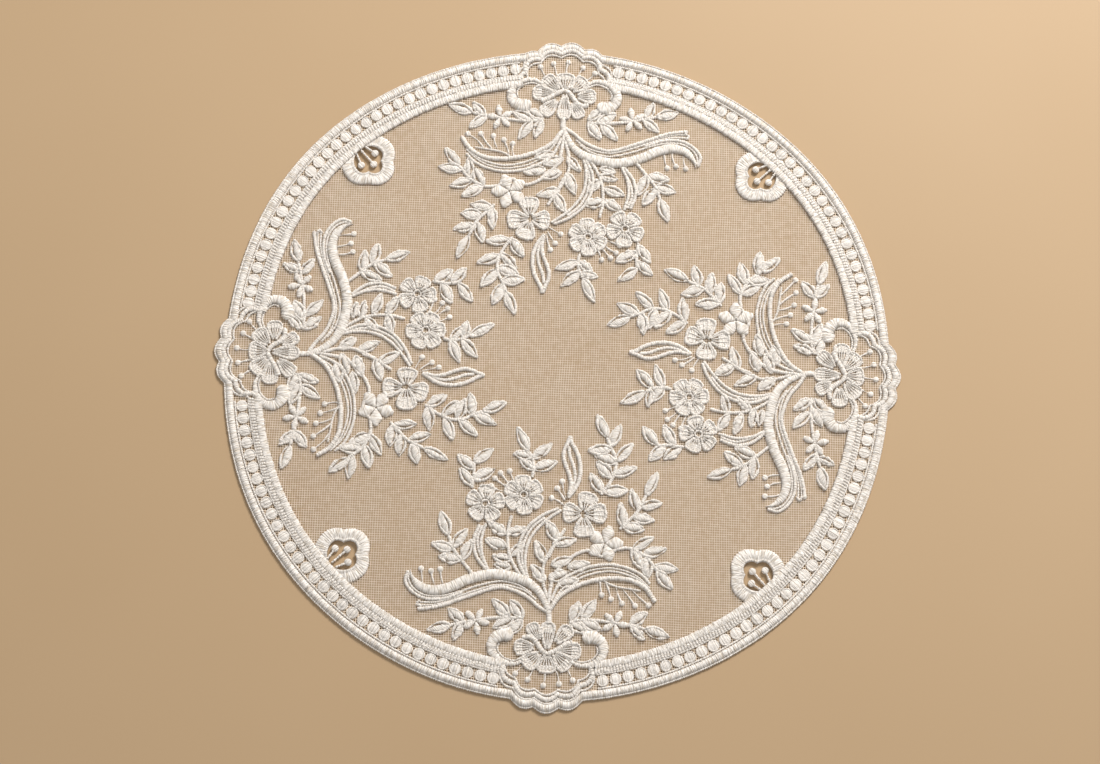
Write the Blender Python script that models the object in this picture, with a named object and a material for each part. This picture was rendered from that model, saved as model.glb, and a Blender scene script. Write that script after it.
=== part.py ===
"""Lace doily: a round of white net, embroidered in satin stitch and cut out along its stitched edge.

The cloth is one solid, flat underneath. Its top is one field of triangles. The net is level, and the
stitching stands up from it: a corded border with a row of dots, four scalloped medallions that stand
out past the ring, four sprays of leaves and flowers, and four cutwork blossoms with open eyelets.

Every satin-stitched shape is a column: a centre line with a half width along it. Its two long sides lie
on the net, and its crest is raised. The tables chart one spray and one blossom, with +Y pointing out
through the middle of the medallion, and the same chart is worked four times around the cloth.
Lengths are in millimetres, and MM turns them into metres when the mesh is made.
"""

import math
from collections import namedtuple

import bmesh
import bpy
import numpy as np
from mathutils import Vector
from mathutils.geometry import delaunay_2d_cdt

MM = 0.001

# The sheet
RING_RADIUS = 151.0  # outer edge of the border, midway between the highest and lowest places
NET_TOP = 1.0
EDGE_TOP = 1.4

# The edge is drawn out a little between the medallions, and it waves as cut cloth does
EdgeWave = namedtuple("EdgeWave", "lobes depth phase")
EDGE_WAVES = (
    EdgeWave(lobes=4, depth=0.9, phase=math.pi),
    EdgeWave(lobes=3, depth=0.4, phase=-1.1),
    EdgeWave(lobes=6, depth=0.4, phase=-2.7),
)
EDGE_STEP = math.radians(4.4)
BAND_STEP = math.radians(5.9)

# The medallions, anticlockwise from the one on +Y. Each one's edge is a shallow arch, merging into the ring
# at each end, with round scallops under it. No two lie quite alike. The crown is the arch's greatest
# distance from the middle of the cloth, and the scallop is where the middle one has its top. The last two
# are how far the stitching there, with the spray below it, lies off its even place
Medallion = namedtuple("Medallion", "crown scallop x y")
MEDALLIONS = (
    Medallion(crown=155.2, scallop=2.6, x=-1.0, y=0.8),
    Medallion(crown=154.4, scallop=1.8, x=1.2, y=0.0),
    Medallion(crown=156.0, scallop=0.6, x=0.4, y=-0.4),
    Medallion(crown=155.0, scallop=-0.5, x=-0.5, y=-0.6),
)
MEDALLION_HALF = 20.5
MEDALLION_FALL = 6.1  # how far the arch has dropped at its ends
SCALLOP_PITCH = 11.0
SCALLOP_DEPTH = 2.0
SCALLOP_STEPS = 7  # of the edge to each side of a medallion's middle scallop
REPEATS = len(MEDALLIONS)
QUARTER = 2 * math.pi / REPEATS

# Rows of the border, by their distance in from the edge. Full rows run on round the medallions
BorderRow = namedtuple("BorderRow", "inset top full")
BORDER_ROWS = (
    BorderRow(inset=0.0, top=EDGE_TOP, full=True),
    BorderRow(inset=1.7, top=2.4, full=True),
    BorderRow(inset=3.5, top=1.4, full=False),
    BorderRow(inset=4.2, top=1.9, full=False),
    BorderRow(inset=4.9, top=NET_TOP, full=False),
    BorderRow(inset=10.4, top=NET_TOP, full=False),
    BorderRow(inset=13.6, top=2.1, full=False),
    BorderRow(inset=16.8, top=NET_TOP, full=False),
)
BORDER_GAP = 22.5  # half the length of border that each medallion replaces
DOTS_PER_QUARTER = 32
DOT_INSET = 7.65
DOT_RADIUS = 2.6
DOT_RISE = 1.2

# The cutwork blossom on each diagonal, about its own centre, and how far each lies off its even place
BLOSSOM_AT = 128.5
Shift = namedtuple("Shift", "x y")
BLOSSOM_SHIFTS = (Shift(3.0, 0.6), Shift(2.0, -0.6), Shift(0.9, 0.8), Shift(-1.5, 1.0))
BLOSSOM_REACH = 13.0
EYELET_REACH = 7.0
PETAL_NOTCH = 2.0
EYELET_HEAD = 5.2  # the border's inner edge closes the eyelet this far above the blossom's centre
BLOSSOM_RISE = 1.2
BLOSSOM_STEPS = 20
Stamen = namedtuple("Stamen", "root knob_x knob_y")
BLOSSOM_STAMENS = (
    Stamen(root=3.2, knob_x=4.3, knob_y=0.9),
    Stamen(root=0.6, knob_x=0.3, knob_y=-2.6),
    Stamen(root=-2.0, knob_x=-4.1, knob_y=0.9),
)
STALK_HALF = 0.6
KNOB_CORNERS = (-40, -110, 180, 110, 40)  # round a knob from its stalk, in degrees
KNOB_RADIUS = 1.9
KNOB_RISE = 1.0

# How each kind of column is drawn: how high it stands, how full its two ends are, how many sections it
# has, or else how far apart they are, and where its crests run, as shares of the half width
Kind = namedtuple("Kind", "rise fullness sections step crests")
LEAF = Kind(rise=1.2, fullness=2.0, sections=2, step=None, crests=(0.0,))
CORD = Kind(rise=1.0, fullness=8.0, sections=None, step=9.6, crests=(0.0,))
CURL = Kind(rise=1.1, fullness=8.0, sections=None, step=5.0, crests=(0.0,))
RIBBON = Kind(rise=0.9, fullness=6.0, sections=None, step=9.0, crests=(-0.6, 0.6))
POINTED = 0.05  # a column narrower than this lies on the net

# Sprigs: leaves that part to the left and the right at these shares of a curved stem's length, and one at
# its tip. The spread is their angle to the stem in degrees
Sprig = namedtuple("Sprig", "stem left right spread leaf tip")
SPRIGS = (
    Sprig([(-29, 83), (-35, 82.5), (-42, 86), (-47, 92)], (0.31, 0.56, 0.88), (0.31, 0.64), 46, 9.9, 10.6),
    Sprig([(-30, 74), (-34, 70), (-38, 66), (-41, 58)], (0.08, 0.57), (0.08, 0.4, 0.7), 57, 9.4, 12.0),
    Sprig([(-21, 59), (-26, 46), (-25, 41), (-20, 31)], (0.06, 0.29, 0.47, 0.73), (0.13, 0.36, 0.53, 0.81),
          66, 9.9, 12.2),
    Sprig([(9.5, 52), (9, 47), (10.5, 41)], (0.27, 0.75), (0.28, 0.8), 61, 8.9, 11.5),
    Sprig([(36, 58), (35.5, 52), (36, 46)], (0.16, 0.76), (0.34, 0.98), 47, 9.2, 0),
    Sprig([(35, 95), (40, 90), (44, 85), (46, 79)], (0.42, 0.68), (0.4, 0.74), 54, 9.2, 11.4),
    Sprig([(-34, 116.3), (-38, 116.8), (-42, 118)], (0.2,), (0.2,), 36, 8.6, 11.5),
    Sprig([(36, 117.3), (39, 118), (43, 119)], (0.6,), (0.5,), 54, 7.5, 10.6),
)
LEAF_RATIO = 0.58  # a leaf's width to its length, before its two ends are drawn in

# Leaves that stand by themselves between the sprigs, from base to tip
Leaf = namedtuple("Leaf", "base tip")
LEAVES = (
    Leaf(base=(-14, 115), tip=(-23, 119)),
    Leaf(base=(-9, 116.5), tip=(-17, 120.5)),
    Leaf(base=(-15, 114), tip=(-20, 107.5)),
    Leaf(base=(-10, 115), tip=(-12, 109)),
    Leaf(base=(13, 117), tip=(18, 121)),
    Leaf(base=(16, 115), tip=(24, 119)),
    Leaf(base=(12, 114), tip=(17, 108.5)),
    Leaf(base=(18, 114), tip=(25, 108.5)),
    Leaf(base=(1, 99), tip=(-11.5, 98)),
    Leaf(base=(1.5, 96), tip=(-10.5, 93.5)),
    Leaf(base=(-4, 91.5), tip=(-17.5, 90.5)),
    Leaf(base=(0.5, 90.5), tip=(-9.5, 87)),
    Leaf(base=(2.5, 98.5), tip=(8.5, 91)),
    Leaf(base=(2.5, 91), tip=(7, 81.5)),
    Leaf(base=(-0.5, 82.5), tip=(-11, 80.5)),
    Leaf(base=(-2.5, 81), tip=(2.5, 72.5)),
    Leaf(base=(17.5, 93), tip=(25, 91.5)),
    Leaf(base=(18, 86), tip=(13, 82)),
    Leaf(base=(18, 89), tip=(26, 88)),
    Leaf(base=(21, 84), tip=(30, 81.5)),
    Leaf(base=(20, 77), tip=(12, 75.5)),
    Leaf(base=(21, 77), tip=(28, 73)),
)

# Flowers: joined petals round a hub, the first one at the turn in degrees. The notch is how far the
# outline comes in between two petals, as a share of the reach, and the crest is where a petal is highest
Flower = namedtuple("Flower", "x y petals reach notch crest turn")
FLOWERS = (
    Flower(-29, 116, petals=5, reach=5.2, notch=0.7, crest=0.0, turn=101),
    Flower(32, 117, petals=5, reach=5.2, notch=0.7, crest=0.0, turn=101),
    Flower(-24, 81, petals=6, reach=8.2, notch=0.28, crest=0.6, turn=96),
    Flower(-13.5, 67.5, petals=4, reach=10.8, notch=0.5, crest=0.62, turn=86),
    Flower(14, 61, petals=6, reach=9.6, notch=0.24, crest=0.62, turn=95),
    Flower(30.5, 64.5, petals=5, reach=8.8, notch=0.3, crest=0.6, turn=50),
)
FLOWER_RISE = 1.1
HUB_RISE = 0.5
CREST_SPAN = 1.0  # radius of the highest place on a petal
SHOULDER = 0.27  # where a petal's round end has its corners, as a share of the angle between two petals
SHOULDER_REACH = 0.96

# The flower that fills the medallion, petal by petal, each from its root to its end
Petal = namedtuple("Petal", "root end width")
MEDALLION_PETALS = (
    Petal(root=(0.5, 130.5), end=(0.5, 140.5), width=8.5),
    Petal(root=(-2.5, 130.5), end=(-11, 136), width=6.0),
    Petal(root=(3.5, 130.5), end=(12, 136), width=6.0),
    Petal(root=(-5, 128), end=(-14, 128), width=7.0),
    Petal(root=(6, 127.5), end=(15.5, 127.5), width=7.0),
    Petal(root=(-3.5, 125), end=(-8.5, 118), width=6.5),
    Petal(root=(5, 124.5), end=(11, 117.5), width=6.5),
    Petal(root=(0.5, 128.5), end=(0.5, 114.5), width=7.5),
)

# Cords: satin lines of one width. Ribbons: wide bands, lower and flat on top
Band = namedtuple("Band", "path width kind")
BANDS = (
    Band([(-11, 132), (-15, 135.5), (-22, 134), (-26.5, 129), (-25, 124), (-21, 121.5), (-17, 124)],
         width=3.8, kind=CURL),
    Band([(11, 132), (16, 135.5), (22.5, 134), (27, 129.5), (26.5, 124.5), (22.5, 122), (18.5, 124)],
         width=3.8, kind=CURL),
    Band([(0, 116), (0.5, 111), (4.5, 103.5), (10, 99), (18, 96.6), (26, 95.9), (36, 98.2), (50, 104.3),
          (57, 102.5), (62, 96)], width=4.2, kind=CORD),
    Band([(0, 111.5), (5, 109.5), (10, 105.5), (17, 102.5), (24, 102), (38, 107.5), (50, 111), (59, 111),
          (63.5, 99)], width=2.2, kind=CORD),
    Band([(-46.5, 104), (-41, 98), (-34, 94), (-25, 93), (-14, 96), (-5, 102), (0.5, 111)],
         width=6.6, kind=RIBBON),
    Band([(8, 101), (13, 90), (13, 82), (9.5, 75), (3, 69.5), (-4, 65.5)], width=4.4, kind=RIBBON),
    Band([(27.5, 93.5), (31.8, 87.5), (32.8, 81), (30.5, 73.5)], width=4.4, kind=RIBBON),
    Band([(-6, 61), (-8.5, 53), (-6.5, 44), (-7, 34)], width=6.0, kind=RIBBON),
    Band([(-29, 83), (-23, 86.5), (-16, 84), (-8, 88), (-3, 97), (0.5, 110)], width=1.8, kind=CORD),
    Band([(-8, 88), (-1, 82), (-5, 73)], width=1.6, kind=CORD),
    Band([(35, 95), (28, 92), (20, 85), (19.5, 76), (18, 69.5)], width=1.8, kind=CORD),
)

# Knobs of the stamens that stand free on the net
KNOBS = (
    (-13, 141.5), (-6.5, 142.5), (0.2, 145), (7.5, 142.5), (14, 141),
    (-44, 108.5), (-38.5, 108.5), (-32.5, 107.5), (-27, 105.5), (-22.5, 103.5),
    (48.5, 94.5), (52.5, 95.5), (57, 94.5),
    (0.5, 61), (-1.8, 56.5), (-4, 53.3),
    (19.5, 49.5), (23.5, 50.5), (26, 53), (27.5, 56.5),
)
FREE_KNOB_RADIUS = 1.4
FREE_KNOB_RISE = 0.9

# The arched cord inside the medallion's edge
ARCH_HALF = 20.5
ARCH_FOOT = 134.0
ARCH_HEIGHT = 16.0
ARCH_SWEEP = math.radians(176)
ARCH_STEPS = 16
ARCH_SCALLOP = 0.6  # how deep its scallops are, as a share of the edge's
ARCH_WIDTH = 2.8

WELD = 0.3  # points nearer than this are one
COTTON = (0.87, 0.85, 0.81, 1.0)
COTTON_ROUGHNESS = 0.85
SMOOTH_ANGLE = math.radians(14)


def turned(points, angle):
    """The points turned anticlockwise about the middle of the cloth."""
    c, s = math.cos(angle), math.sin(angle)
    return np.asarray(points, float) @ np.array([[c, s], [-s, c]])


def polar(radius, angle):
    return np.stack([radius * np.cos(angle), radius * np.sin(angle)], axis=1)


def along(points, shares):
    """Places at these shares of the length of a smooth curve through the points, its directions there,
    and its whole length. The curve is a Catmull-Rom spline."""
    points = np.asarray(points, float)
    ends = np.vstack([2 * points[0] - points[1], points, 2 * points[-1] - points[-2]])
    t = np.linspace(0, 1, 12, endpoint=False)[:, None]
    runs = []
    for a, b, c, d in zip(ends, ends[1:], ends[2:], ends[3:]):
        bend = (2 * a - 5 * b + 4 * c - d) * t**2 + (3 * b - a - 3 * c + d) * t**3
        runs.append(b + 0.5 * ((c - a) * t + bend))
    fine = np.vstack(runs + [points[-1:]])
    length = np.concatenate([[0], np.cumsum(np.hypot(*np.diff(fine, axis=0).T))])
    shares = np.asarray(shares, float) * length[-1]
    slopes = np.gradient(fine, length, axis=0)
    places = np.stack([np.interp(shares, length, fine[:, i]) for i in (0, 1)], axis=1)
    ways = np.stack([np.interp(shares, length, slopes[:, i]) for i in (0, 1)], axis=1)
    return places, ways / np.hypot(*ways.T)[:, None], length[-1]


def inside(points, outline):
    """True for each point inside the outline, counting how often a line from it crosses the outline."""
    x, y = points[:, 0, None], points[:, 1, None]
    ax, ay = outline[:, 0], outline[:, 1]
    bx, by = np.roll(ax, -1), np.roll(ay, -1)
    with np.errstate(divide="ignore", invalid="ignore"):
        crossing = ((ay > y) != (by > y)) & (x < (bx - ax) * (y - ay) / (by - ay) + ax)
    return crossing.sum(axis=1) % 2 == 1


def from_medallion(angle):
    """Distance round the ring from the even place of the nearest medallion, along its own +X."""
    return RING_RADIUS * (QUARTER / 2 - (angle + QUARTER / 2) % QUARTER)


def scallop(x, middle):
    """How far the medallion's edge is drawn in at x: nothing at a scallop's crown, full at a notch."""
    return SCALLOP_DEPTH * (1 - np.abs(np.cos(math.pi * (x - middle) / SCALLOP_PITCH)))


def edge_radius(angle):
    """The outer edge, as a distance from the middle at each angle."""
    radius = RING_RADIUS + sum(w.depth * np.cos(w.lobes * angle + w.phase) for w in EDGE_WAVES)
    nearest = np.round(angle / QUARTER - 1).astype(int) % REPEATS
    crown, middle, shift, _ = np.array(MEDALLIONS)[nearest].T
    x = from_medallion(angle)
    arch = crown - MEDALLION_FALL * ((x - shift) / MEDALLION_HALF) ** 2 - scallop(x, middle)
    return np.where(np.abs(x - shift) < MEDALLION_HALF, np.maximum(radius, arch), radius)


def quarter_steps(gap, step):
    """Even angles over one quarter, from one medallion's end to the next one's start."""
    start = gap / RING_RADIUS
    return np.linspace(start, QUARTER - start, round((QUARTER - 2 * start) / step) + 1)


def edge_angles():
    """Angles of the edge's points: four to a scallop, and wide apart on the ring."""
    steps = SCALLOP_PITCH / 4 * np.arange(-SCALLOP_STEPS, SCALLOP_STEPS + 1)
    ring = quarter_steps(MEDALLION_HALF, EDGE_STEP)
    made = []
    for number, row in enumerate(MEDALLIONS, 1):
        made.append(QUARTER * number - (row.scallop + steps) / RING_RADIUS)
        made.append(QUARTER * number + ring)
    return np.sort(np.concatenate(made) % (2 * math.pi))


class Place:
    """Where a chart is worked on the cloth: shifted off its even place, and turned about the middle."""

    def __init__(self, turn, shift):
        self.turn = turn
        self.shift = np.array(shift, float)

    def out(self, points):
        return turned(np.asarray(points, float) + self.shift, self.turn)

    def back(self, points):
        return turned(points, -self.turn) - self.shift


class Chart:
    """The points and lines that the top is triangulated on. What is drawn is moved to the chart's place."""

    def __init__(self):
        self.points = []
        self.lines = []
        self.place = Place(0, (0, 0))

    def line(self, points, closed=False):
        first = len(self.points)
        count = len(points)
        self.points += [Vector(point) for point in self.place.out(points)]
        self.lines += [(first + i, first + i + 1) for i in range(count - 1)]
        if closed:
            self.lines.append((first + count - 1, first))

    def triangles(self):
        corners, _, faces, *_ = delaunay_2d_cdt(self.points, self.lines, [], 0, WELD)
        return np.array(corners), np.array(faces)


class Column:
    """A satin column along a path, running out to a point or a round end at each side."""

    def __init__(self, path, width, kind):
        sections = kind.sections or max(2, round(along(path, [1])[2] / kind.step))
        shares = (np.arange(sections + 2) - 0.5) / sections
        shares[0], shares[-1] = 0, 1
        self.kind = kind
        self.line = along(path, shares)[0]
        self.halves = width / 2 * (1 - np.abs(2 * shares - 1) ** kind.fullness)

    def draw(self, chart):
        way = np.gradient(self.line, axis=0)
        side = np.stack([-way[:, 1], way[:, 0]], axis=1) / np.hypot(*way.T)[:, None]
        out = side * self.halves[:, None]
        chart.line(np.vstack([(self.line + out)[:-1], (self.line - out)[:0:-1]]), closed=True)
        for share in self.kind.crests:
            crest = (self.line + share * out)[1:-1]
            if self.kind.sections:
                crest = crest.mean(axis=0, keepdims=True)
            chart.line(np.vstack([self.line[:1], crest, self.line[-1:]]))

    def rise(self, points):
        """Full between the crests, and falling off in a round curve to nothing at the sides."""
        flat = max(self.kind.crests)
        rise = np.zeros(len(points))
        for a, b, start, end in zip(self.line, self.line[1:], self.halves, self.halves[1:]):
            run = b - a
            t = np.clip((points - a) @ run / (run @ run), 0, 1)
            apart = np.hypot(*(points - a - t[:, None] * run).T)
            half = start + (end - start) * t
            side = (apart / np.maximum(half, POINTED) - flat) / (1 - flat)
            share = np.clip(1 - np.maximum(side, 0) ** 2, 0, 1) * (half > POINTED)
            rise = np.maximum(rise, self.kind.rise * np.sqrt(share))
        return rise


class Dome:
    """A round dot or knob. One with no sides is the crown of a shape whose outline is drawn elsewhere."""

    def __init__(self, centre, radius, height, sides=0):
        self.centre = np.asarray(centre, float)
        self.radius = radius
        self.height = height
        self.sides = sides

    def draw(self, chart):
        if self.sides:
            angle = math.atan2(*self.centre[::-1]) + 2 * math.pi * (np.arange(self.sides) + 0.5) / self.sides
            chart.line(self.centre + polar(self.radius, angle), closed=True)
        chart.line([self.centre])

    def rise(self, points):
        apart = np.hypot(*(points - self.centre).T)
        return self.height * np.sqrt(np.clip(1 - (apart / self.radius) ** 2, 0, 1))


class FlowerHead:
    """Joined petals round a lower hub, or a small star that is highest at its middle."""

    def __init__(self, row):
        self.hub = np.array([row.x, row.y])
        turn = math.radians(row.turn)
        step = 2 * math.pi / row.petals
        middles = turn + step * np.arange(row.petals)
        corners = [(-SHOULDER, SHOULDER_REACH), (SHOULDER, SHOULDER_REACH)] if row.crest else [(0, 1)]
        shares, reaches = np.array(corners + [(0.5, 1 - row.notch)]).T
        angle = (middles[:, None] + step * shares).ravel()
        self.outline = self.hub + polar(row.reach * np.tile(reaches, row.petals), angle)
        self.ends = self.hub + polar(row.reach * (row.crest or 1), middles)
        self.domes = [Dome(self.hub, CREST_SPAN, HUB_RISE)]
        if row.crest:
            self.domes += [Dome(end, CREST_SPAN, FLOWER_RISE) for end in self.ends]

    def draw(self, chart):
        chart.line(self.outline, closed=True)
        for end in self.ends:
            chart.line([self.hub, end])

    def rise(self, points):
        return np.max([dome.rise(points) for dome in self.domes], axis=0)


def stamen_outline(stamen):
    """Down one side of a stalk, round its knob and back up the other side."""
    root = np.array([stamen.root, EYELET_HEAD])
    knob = np.array([stamen.knob_x, stamen.knob_y])
    way = (knob - root) / math.dist(knob, root)
    side = np.array([-way[1], way[0]])
    around = math.atan2(*(-way)[::-1]) + np.radians(KNOB_CORNERS)
    knob_rim = knob + polar(KNOB_RADIUS, around)
    return np.vstack([[root + STALK_HALF * side], knob_rim, [root - STALK_HALF * side]])


def blossom_reach(angle, reach):
    """Outline about a blossom's centre: three petals with notches between, and round above them."""
    return reach - PETAL_NOTCH * (1 - np.abs(np.cos(2 * angle))) * (np.sin(angle) < 0)


class Blossom:
    """A cutwork blossom: a petalled satin ring that hangs from the border, open but for three stamens."""

    centre = np.array([0, BLOSSOM_AT])

    def __init__(self):
        self.hole = self.centre + self.eyelet()
        knobs = [(stamen.knob_x, stamen.knob_y) for stamen in BLOSSOM_STAMENS]
        self.domes = [Dome(self.centre + knob, KNOB_RADIUS, KNOB_RISE) for knob in knobs]

    def below(self, reach, shift=0.0):
        """The petalled outline, from the border's inner edge round below and back up to it."""
        angle = math.pi / 2 + (np.arange(BLOSSOM_STEPS) + shift) * 2 * math.pi / BLOSSOM_STEPS
        points = polar(blossom_reach(angle, reach), angle)
        return points[points[:, 1] < EYELET_HEAD]

    def eyelet(self):
        rim = self.below(EYELET_REACH, shift=0.5)
        across = math.sqrt(EYELET_REACH**2 - EYELET_HEAD**2)
        fringe = [stamen_outline(stamen) for stamen in BLOSSOM_STAMENS]
        return np.vstack([[(-across, EYELET_HEAD)], rim, [(across, EYELET_HEAD)], *fringe])

    def draw(self, chart):
        chart.line(self.hole, closed=True)
        chart.line(self.centre + self.below(BLOSSOM_REACH))
        chart.line(self.centre + self.below((BLOSSOM_REACH + EYELET_REACH) / 2))
        for dome in self.domes:
            dome.draw(chart)

    def rise(self, points):
        """Crowned halfway between the petalled edge and the eyelet, with a dome on each knob."""
        x, y = (points - self.centre).T
        angle = np.arctan2(y, x)
        outer = blossom_reach(angle, BLOSSOM_REACH)
        inner = blossom_reach(angle, EYELET_REACH)
        share = np.clip((outer - np.hypot(x, y)) / (outer - inner), 0, 1)
        ring = BLOSSOM_RISE * np.sin(math.pi * share)
        return np.max([ring] + [dome.rise(points) for dome in self.domes], axis=0)


def leaf(base, tip):
    return Column([base, tip], LEAF_RATIO * math.dist(base, tip), LEAF)


def sprig_leaves(row):
    """The leaves that part to the left and the right of a stem, and the leaf at its tip."""
    made = []
    for shares, side in ((row.left, 1), (row.right, -1)):
        places, ways, _ = along(row.stem, shares)
        tips = places + row.leaf * turned(ways, side * math.radians(row.spread))
        made += [leaf(base, tip) for base, tip in zip(places, tips)]
    if row.tip:
        end, way, _ = along(row.stem, [1])
        made.append(leaf(end[0], end[0] + row.tip * way[0]))
    return made


def medallion_arch(medallion):
    """The inner cord of the medallion: half an ellipse, drawn in between the scallops as the edge is."""
    t = np.linspace(math.pi / 2 + ARCH_SWEEP / 2, math.pi / 2 - ARCH_SWEEP / 2, ARCH_STEPS)
    x = ARCH_HALF * np.cos(t)
    drawn_in = ARCH_SCALLOP * scallop(x + medallion.x, medallion.scallop)
    y = ARCH_FOOT + ARCH_HEIGHT * np.sin(t) - drawn_in
    return Column(np.stack([x, y], axis=1), ARCH_WIDTH, CORD)


def spray(medallion):
    """Everything that is worked once in each quarter about a medallion's axis."""
    made = [medallion_arch(medallion)]
    for row in SPRIGS:
        made += sprig_leaves(row)
    made += [leaf(row.base, row.tip) for row in LEAVES]
    made += [Column([row.root, row.end], row.width, LEAF) for row in MEDALLION_PETALS]
    made += [Column(row.path, row.width, row.kind) for row in BANDS]
    made += [FlowerHead(row) for row in FLOWERS]
    made += [Dome(knob, FREE_KNOB_RADIUS, FREE_KNOB_RISE, sides=3) for knob in KNOBS]
    return made


def border_dots():
    """The row of dots, evenly spaced from medallion to medallion."""
    start = (BORDER_GAP + DOT_RADIUS) / RING_RADIUS
    quarter = np.linspace(start, QUARTER - start, DOTS_PER_QUARTER)
    angle = (quarter + QUARTER * np.arange(REPEATS)[:, None]).ravel()
    centres = polar(edge_radius(angle) - DOT_INSET, angle)
    return [Dome(centre, DOT_RADIUS, DOT_RISE, sides=4) for centre in centres]


def draw_border(chart):
    """The edge and the border's rows. The full rows are closed, and the others stop at the medallions."""
    whole = edge_angles()
    parts = [quarter_steps(BORDER_GAP, BAND_STEP) + QUARTER * k for k in range(REPEATS)]
    for row in BORDER_ROWS:
        for angle in [whole] if row.full else parts:
            chart.line(polar(edge_radius(angle) - row.inset, angle), closed=row.full)


def border_top(points):
    """Height of the border's cords and of its inner band. Only the full rows reach into the medallions."""
    angle = np.arctan2(points[:, 1], points[:, 0])
    inset = edge_radius(angle) - np.hypot(*points.T)
    groove = next(row.inset for row in BORDER_ROWS if not row.full)
    rows = [(row.inset, row.top) for row in BORDER_ROWS]
    full_rows = [(row.inset, row.top) for row in BORDER_ROWS if row.full] + [(groove, NET_TOP)]
    within = np.abs(from_medallion(angle)) < BORDER_GAP - WELD
    return np.where(within, np.interp(inset, *zip(*full_rows)), np.interp(inset, *zip(*rows)))


def fill_underside(mesh, foot, kept):
    """Drops the lower edges of the walls to the flat underside and closes it, leaving the eyelets open."""
    verts = list({v for e in foot for v in e.verts})
    place = {v: i for i, v in enumerate(verts)}
    for vert in verts:
        vert.co.z = 0
    flat = [vert.co.xy / MM for vert in verts]
    lines = [tuple(place[v] for v in e.verts) for e in foot]
    corners, _, faces, came_from, *_ = delaunay_2d_cdt(flat, lines, [], 0, 0)
    faces = np.array(faces)
    for face in faces[kept(np.array(corners)[faces].mean(axis=1))]:
        mesh.faces.new([verts[came_from[i][0]] for i in face])


def doily_mesh():
    """The whole cloth as one closed mesh: the top, a wall down from each of its edges, and the underside."""
    diagonals = [Place(QUARTER * (k + 1 / 2), shift) for k, shift in enumerate(BLOSSOM_SHIFTS)]
    placed = [(Place(QUARTER * k, (row.x, row.y)), spray(row)) for k, row in enumerate(MEDALLIONS)]
    placed += [(place, [Blossom()]) for place in diagonals]
    placed.append((Place(0, (0, 0)), border_dots()))

    chart = Chart()
    draw_border(chart)
    for chart.place, shapes in placed:
        for shape in shapes:
            shape.draw(chart)
    corners, faces = chart.triangles()

    edge = polar(edge_radius(edge_angles()), edge_angles())
    holes = [place.out(Blossom().hole) for place in diagonals]

    def kept(middles):
        return inside(middles, edge) & ~np.any([inside(middles, hole) for hole in holes], axis=0)

    faces = faces[kept(corners[faces].mean(axis=1))]
    top = np.maximum(NET_TOP, border_top(corners))
    for place, shapes in placed:
        local = place.back(corners)
        for shape in shapes:
            top = np.maximum(top, NET_TOP + shape.rise(local))

    mesh = bmesh.new()
    verts = [mesh.verts.new((x * MM, y * MM, z * MM)) for (x, y), z in zip(corners, top)]
    for face in faces:
        mesh.faces.new([verts[i] for i in face])
    bmesh.ops.delete(mesh, geom=[v for v in verts if not v.link_faces], context="VERTS")
    rim = [e for e in mesh.edges if e.is_boundary]
    walls = bmesh.ops.extrude_edge_only(mesh, edges=rim)["geom"]
    foot = [e for e in walls if isinstance(e, bmesh.types.BMEdge) and e.is_boundary]
    fill_underside(mesh, foot, kept)
    bmesh.ops.triangulate(mesh, faces=[f for f in mesh.faces if len(f.verts) > 3])
    bmesh.ops.recalc_face_normals(mesh, faces=mesh.faces)
    middle = (edge.min(axis=0) + edge.max(axis=0)) / 2 * MM
    bmesh.ops.translate(mesh, verts=mesh.verts, vec=(-middle[0], -middle[1], 0))
    data = bpy.data.meshes.new("doily")
    mesh.to_mesh(data)
    mesh.free()
    return data


def cotton():
    material = bpy.data.materials.new("cotton")
    material.use_nodes = True
    shader = material.node_tree.nodes["Principled BSDF"]
    shader.inputs["Base Color"].default_value = COTTON
    shader.inputs["Roughness"].default_value = COTTON_ROUGHNESS
    shader.inputs["Metallic"].default_value = 0.0
    return material


for old in list(bpy.data.objects):
    bpy.data.objects.remove(old, do_unlink=True)

mesh = doily_mesh()
mesh.materials.append(cotton())
mesh.shade_smooth()
mesh.set_sharp_from_angle(angle=SMOOTH_ANGLE)
bpy.context.scene.collection.objects.link(bpy.data.objects.new("doily", mesh))
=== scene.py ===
"""Round lace doily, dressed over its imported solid: sheer net, satin-stitched border, medallions, sprays
and cutwork blossoms. Sizes are in millimetres, and MM turns them into metres when a mesh is made."""

import math
from collections import namedtuple

import bpy
import numpy as np
from mathutils import Matrix, Vector


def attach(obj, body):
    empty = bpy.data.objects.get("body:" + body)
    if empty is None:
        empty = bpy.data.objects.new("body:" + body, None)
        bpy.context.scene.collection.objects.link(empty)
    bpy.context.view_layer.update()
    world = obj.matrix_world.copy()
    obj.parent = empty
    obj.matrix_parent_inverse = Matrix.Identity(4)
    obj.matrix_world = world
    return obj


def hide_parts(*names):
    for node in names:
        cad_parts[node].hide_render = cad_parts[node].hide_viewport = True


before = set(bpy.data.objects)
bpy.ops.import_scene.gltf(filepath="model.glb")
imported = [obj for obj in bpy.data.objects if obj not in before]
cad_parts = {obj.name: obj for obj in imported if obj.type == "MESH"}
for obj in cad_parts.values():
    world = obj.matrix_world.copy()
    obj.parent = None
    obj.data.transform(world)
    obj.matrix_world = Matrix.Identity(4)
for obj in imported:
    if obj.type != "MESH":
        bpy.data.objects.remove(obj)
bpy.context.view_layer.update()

# --- The cloth's outline -----------------------------------------------------------------------------
# The doily is a round of cotton lace, cut out along its machine-stitched edge. The ring waves a little,
# and four scalloped medallions stand out past it, no two of them quite alike.
MM = 0.001
RING_RADIUS = 151.0
OUTLINE_POINTS = 3600
EdgeWave = namedtuple("EdgeWave", "lobes depth phase")
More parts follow.
